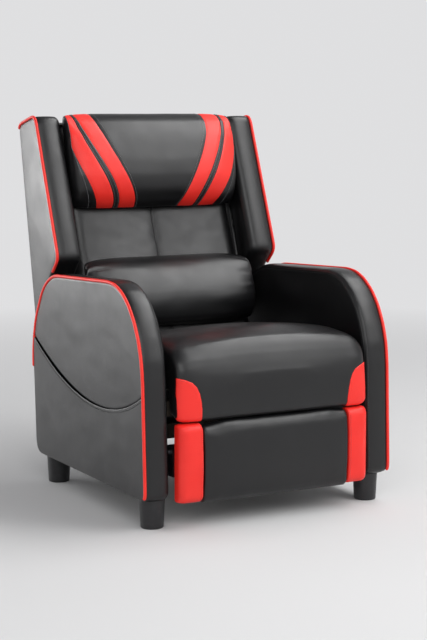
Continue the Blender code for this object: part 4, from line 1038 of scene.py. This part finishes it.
def stripe_place(column, rise):
    """Where a column lies across the pillow at each height of its outline."""
    edges = [np.zeros(len(rise))]
    edges += [np.minimum(np.polyval(np.polyfit(STRIPE_HEIGHTS, places, 3), rise), 0.994)
              for places in STRIPE_EDGES.values()]
    edges.append(np.ones(len(rise)))
    size = abs(column)
    k = min(len(STRIPE_COLUMNS) - 2, int(np.searchsorted(STRIPE_COLUMNS, size, side="right")) - 1)
    share = (size - STRIPE_COLUMNS[k]) / (STRIPE_COLUMNS[k + 1] - STRIPE_COLUMNS[k])
    return math.copysign(1.0, column) * (edges[k] + (edges[k + 1] - edges[k]) * share)


def stripe_tone(column):
    """Which of the pillow's leathers covers a column: 1 is red."""
    span = int(np.searchsorted(STRIPE_COLUMNS, column))
    return 1 if span in (2, 4) else 0


def pillow_columns():
    """Columns across the pillow, with close pairs beside each stripe's edges."""
    half = {0.0}
    for start, end, count in zip(STRIPE_COLUMNS, STRIPE_COLUMNS[1:], SPAN_COUNTS):
        half |= {round(float(c), 5) for c in np.linspace(start, end, count + 1)}
    for edge in STRIPE_COLUMNS[1:-1]:
        half |= {round(edge - 0.006, 5), round(edge + 0.006, 5)}
    half = sorted(half)
    return [-c for c in half[:0:-1]] + half


def make_pillow():
    line = outline_of("head_pillow", 0.0, 0.006, 2)
    line = tuck_under(line + outward(line) * 0.0020, 0.36, 0.018)
    columns = pillow_columns()
    grooves = tuple((edge, 0.0014, 0.0016) for edge in STRIPE_COLUMNS[1:-1])
    pillow = stuffed("head_pillow_upholstery", line, PILLOW_HALF, (0.45, 0.92), columns,
                     stripe_place, stripe_tone, (BLACK, RED), 0.0010, grooves)
    middle = line.mean(0)
    inflate(pillow, lambda points: hold_rear(points, *middle, 0.012, 0.03, 0.247), 0.005, 8)
    shift(pillow, 0, lambda points: PILLOW_SHIFT)
    wrinkle(pillow, 0.0008, 0.09, 61.0)
    rings = read_points(pillow.data)[:len(columns) * len(line)]
    rings = rings.reshape(len(columns), len(line), 3)
    finish_cushion(pillow, "back", "head_pillow", 0.75)
    front = outward(line)[:, 0] < 0.10
    paths = []
    for place in PILLOW_SEAMS:
        for way in (-1, 1):
            at = np.interp(way * place, columns, np.arange(len(columns)))
            k = int(at)
            row = rings[k] + (rings[k + 1] - rings[k]) * (at - k)
            paths.append(even(run_of(row, front), 0.003, closed=False))
    sew("head_pillow_stitching", pillow, paths, GREY_THREAD, "back", BOLD_THREAD)


PANEL_HALF = 0.2534
PANEL_ENDS = ((0.0, -0.0030), (0.0006, -0.0017), (0.0020, -0.0006), (0.005, 0.0))
PANEL_SEAM_X = 0.243


def make_rear_panel():
    line = outline_of("back_rear_panel", 0.0, 0.004, 2)
    profile = [(PANEL_HALF - end, lift) for end, lift in PANEL_ENDS]
    profile += [(float(x), 0.0030 * (1 - (x / PANEL_HALF) ** 4))
                for x in np.linspace(0.235, 0.0, 14)]
    share = np.clip(outward(line)[:, 0] * 1.5, 0, 1)
    shell = Shell()
    rings = band(shell, line, mirrored(profile), share)
    for ring in (rings[0], rings[-1]):
        shell.fill(*ring, lambda points: np.full(len(points), PANEL_HALF), 1.0)
    panel = shell.piece("back_rear_upholstery", BLACK)
    wrinkle(panel, 0.0006, 0.08, 71.0)
    fit(panel, "back", "back_rear_panel")
    make_back_seams("back_rear_stitching", line, (-PANEL_SEAM_X, PANEL_SEAM_X), 0.0008,
                    lambda lean, z: lean > 0.6 and 0.345 < z < 0.94)


def circle(x, y, z, radius, count):
    turns = [2 * math.pi * k / count for k in range(count)]
    return [(x + radius * math.cos(t), y + radius * math.sin(t), z) for t in turns]


# A foot's outline from the floor up, as (radius, z)
FOOT_PROFILE = ((0.0240, 0.0), (0.0262, 0.0004), (0.0276, 0.0018), (0.0280, 0.0040),
                (0.0312, 0.0660), (0.0315, 0.0684), (0.0315, 0.0700), (0.0311, 0.0712),
                (0.0300, 0.0717))


def make_foot(node):
    low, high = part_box(node)
    x, y, _ = (low + high) / 2
    shell = Shell()
    rings = [shell.ring(circle(x, y, z, radius, 48)) for radius, z in FOOT_PROFILE]
    shell.loft(rings)
    shell.fan(rings[0], (x, y, 0.0006))
    shell.fan(rings[-1], (x, y, FOOT_PROFILE[-1][1]))
    fit(shell.piece(f"{node}_moulding", PLASTIC), "base", node)


SKIRT_COLUMNS = 90
SKIRT_ROWS = 36
SKIRT_WALL = 0.0010
SKIRT_SLACK = 0.0022


def make_skirt():
    """The cloth across the back below the seat, stapled along its top and sides."""
    low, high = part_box("rear_skirt")
    middle = (low.y + high.y) / 2
    shell = Shell()

    def spot(across, rise, offset):
        x = low.x + (high.x - low.x) * across
        z = low.z + (high.z - low.z) * rise
        loose = math.sin(math.pi * across) * math.sin(math.pi * min(1.0, 1.15 - rise))
        y = middle + offset + SKIRT_SLACK * loose * ripple(x, z * 0.4, 81.0, 0.05)
        return x, y, z

    layers = [[shell.ring([spot(c / SKIRT_COLUMNS, r / SKIRT_ROWS, offset)
                           for c in range(SKIRT_COLUMNS + 1)]) for r in range(SKIRT_ROWS + 1)]
              for offset in (SKIRT_WALL / 2, -SKIRT_WALL / 2)]
    for rows in layers:
        shell.loft(rows, closed=False)
    front, back = layers
    for k in (0, -1):
        shell.bridge(front[k], back[k], closed=False)
        shell.bridge([row[k] for row in front], [row[k] for row in back], closed=False)
    skirt = shell.piece("rear_skirt_cloth", CLOTH)
    fit(skirt, "base", "rear_skirt")


def finish_nodes():
    """The hard CAD pieces keep their shapes and get their finishes."""
    finishes = {"steel": STEEL, "timber": SHADE_DARKENED_TIMBER}
    for row in frame["record"]["subparts"]:
        material = finishes.get(row.get("material_slot"))
        if material:
            dress(frame["nodes"][row["node"]].data, material)


def paper():
    """Lit paper that fades, away from the chair, to the backdrop's tone for the eye and gloss."""
    look = new_look("stage_paper")
    tone = look.ramp(look.noise(0.7, 2.0), (0.3, (0.68, 0.68, 0.68)), (0.7, (0.69, 0.69, 0.69)))
    lit = look.made_of(Base_Color=tone, Roughness=0.85, Specular_IOR_Level=0.2)
    glow = look.add("Emission", Color=(*BACKDROP, 1.0), Strength=1.0)
    reach = look.add("VectorMath", operation="LENGTH", Vector=look.place)
    far_off = look.range(reach.outputs["Value"], 0.0, 1.0, 1.0, 4.0)
    rays = look.add("LightPath")
    seen = rays.outputs["Is Camera Ray"]
    for kind in ("Is Glossy Ray", "Is Transmission Ray"):
        seen = look.combine("MAXIMUM", seen, rays.outputs[kind])
    mix = look.add("MixShader", Fac=look.combine("MULTIPLY", far_off, seen))
    look.tree.links.new(look.shader.outputs["BSDF"], mix.inputs[1])
    look.tree.links.new(glow.outputs["Emission"], mix.inputs[2])
    look.set(look.tree.nodes["Material Output"], Surface=mix.outputs["Shader"])
    return lit


def make_stage():
    """A round pale floor that reaches far outside every camera."""
    shell = Shell()
    rings = [shell.ring(circle(0, 0, 0.0, radius, 96)) for radius in (1.5, 4.0, 10.0, 40.0)]
    shell.fan(rings[0], (0, 0, 0))
    shell.loft(rings)
    shell.piece("stage_floor", paper())


def add_light(name, place, aim, size, power):
    data = bpy.data.lights.new(name, "AREA")
    data.shape = "RECTANGLE"
    data.size, data.size_y = size
    data.energy = power
    lamp = add_object(name, data)
    lamp.location = place
    lamp.rotation_mode = "QUATERNION"
    lamp.rotation_quaternion = (Vector(aim) - Vector(place)).to_track_quat("-Z", "Y")
    lamp.visible_camera = False


def make_lights():
    world = bpy.data.worlds.new("studio")
    bpy.context.scene.world = world
    sky = Look(world, "Generated")
    split = sky.add("SeparateXYZ", Vector=sky.place)
    sky.made_of(Color=sky.ramp(split.outputs["Z"], (0.12, BACKDROP), (0.75, ZENITH)), Strength=1.0)
    add_light("key", (-1.7, -3.2, 2.6), (0, 0, 0.5), (2.6, 2.2), 54)
    add_light("front", (1.9, -3.2, 2.2), (0, 0, 0.5), (2.4, 1.8), 28)
    add_light("top", (1.6, -1.0, 3.2), (0.2, -1.0, 0.5), (4.0, 1.5), 96)
    add_light("side", (-5.80, 6.2, 1.05), (-0.35, 0, 0.35), (6.5, 2.0), 310)
    bpy.context.scene.view_settings.view_transform = "Standard"


# The camera that was fitted to the photograph, with its place measured from the arms' front plane
CAMERA_LENS = 91.76
CAMERA_SENSOR = 36.0
CAMERA_PLACE = (-1.99904, FRONT_PLANE - 3.36252, 0.99469)
CAMERA_AHEAD = (0.47489, 0.87054, -0.12895)


def make_camera():
    data = bpy.data.cameras.new("camera")
    data.lens = CAMERA_LENS
    data.sensor_width = CAMERA_SENSOR
    camera = add_object("camera", data)
    ahead = Vector(CAMERA_AHEAD).normalized()
    right = ahead.cross(Vector((0, 0, 1))).normalized()
    up = right.cross(ahead)
    camera.matrix_world = Matrix((right, up, -ahead)).transposed().to_4x4()
    camera.location = CAMERA_PLACE
    bpy.context.scene.camera = camera


make_camera()
make_lights()
make_stage()
finish_nodes()
for arm_name, arm_side in SIDES:
    make_arm(arm_name, arm_side)
    make_wing(arm_name, arm_side)
make_centre_pad()
make_rear_panel()
for foot_end in ("front", "rear"):
    for foot_name, _ in SIDES:
        make_foot(f"{foot_end}_{foot_name}_foot")
make_skirt()
make_seat()
make_footrest()
make_lumbar()
make_pillow()
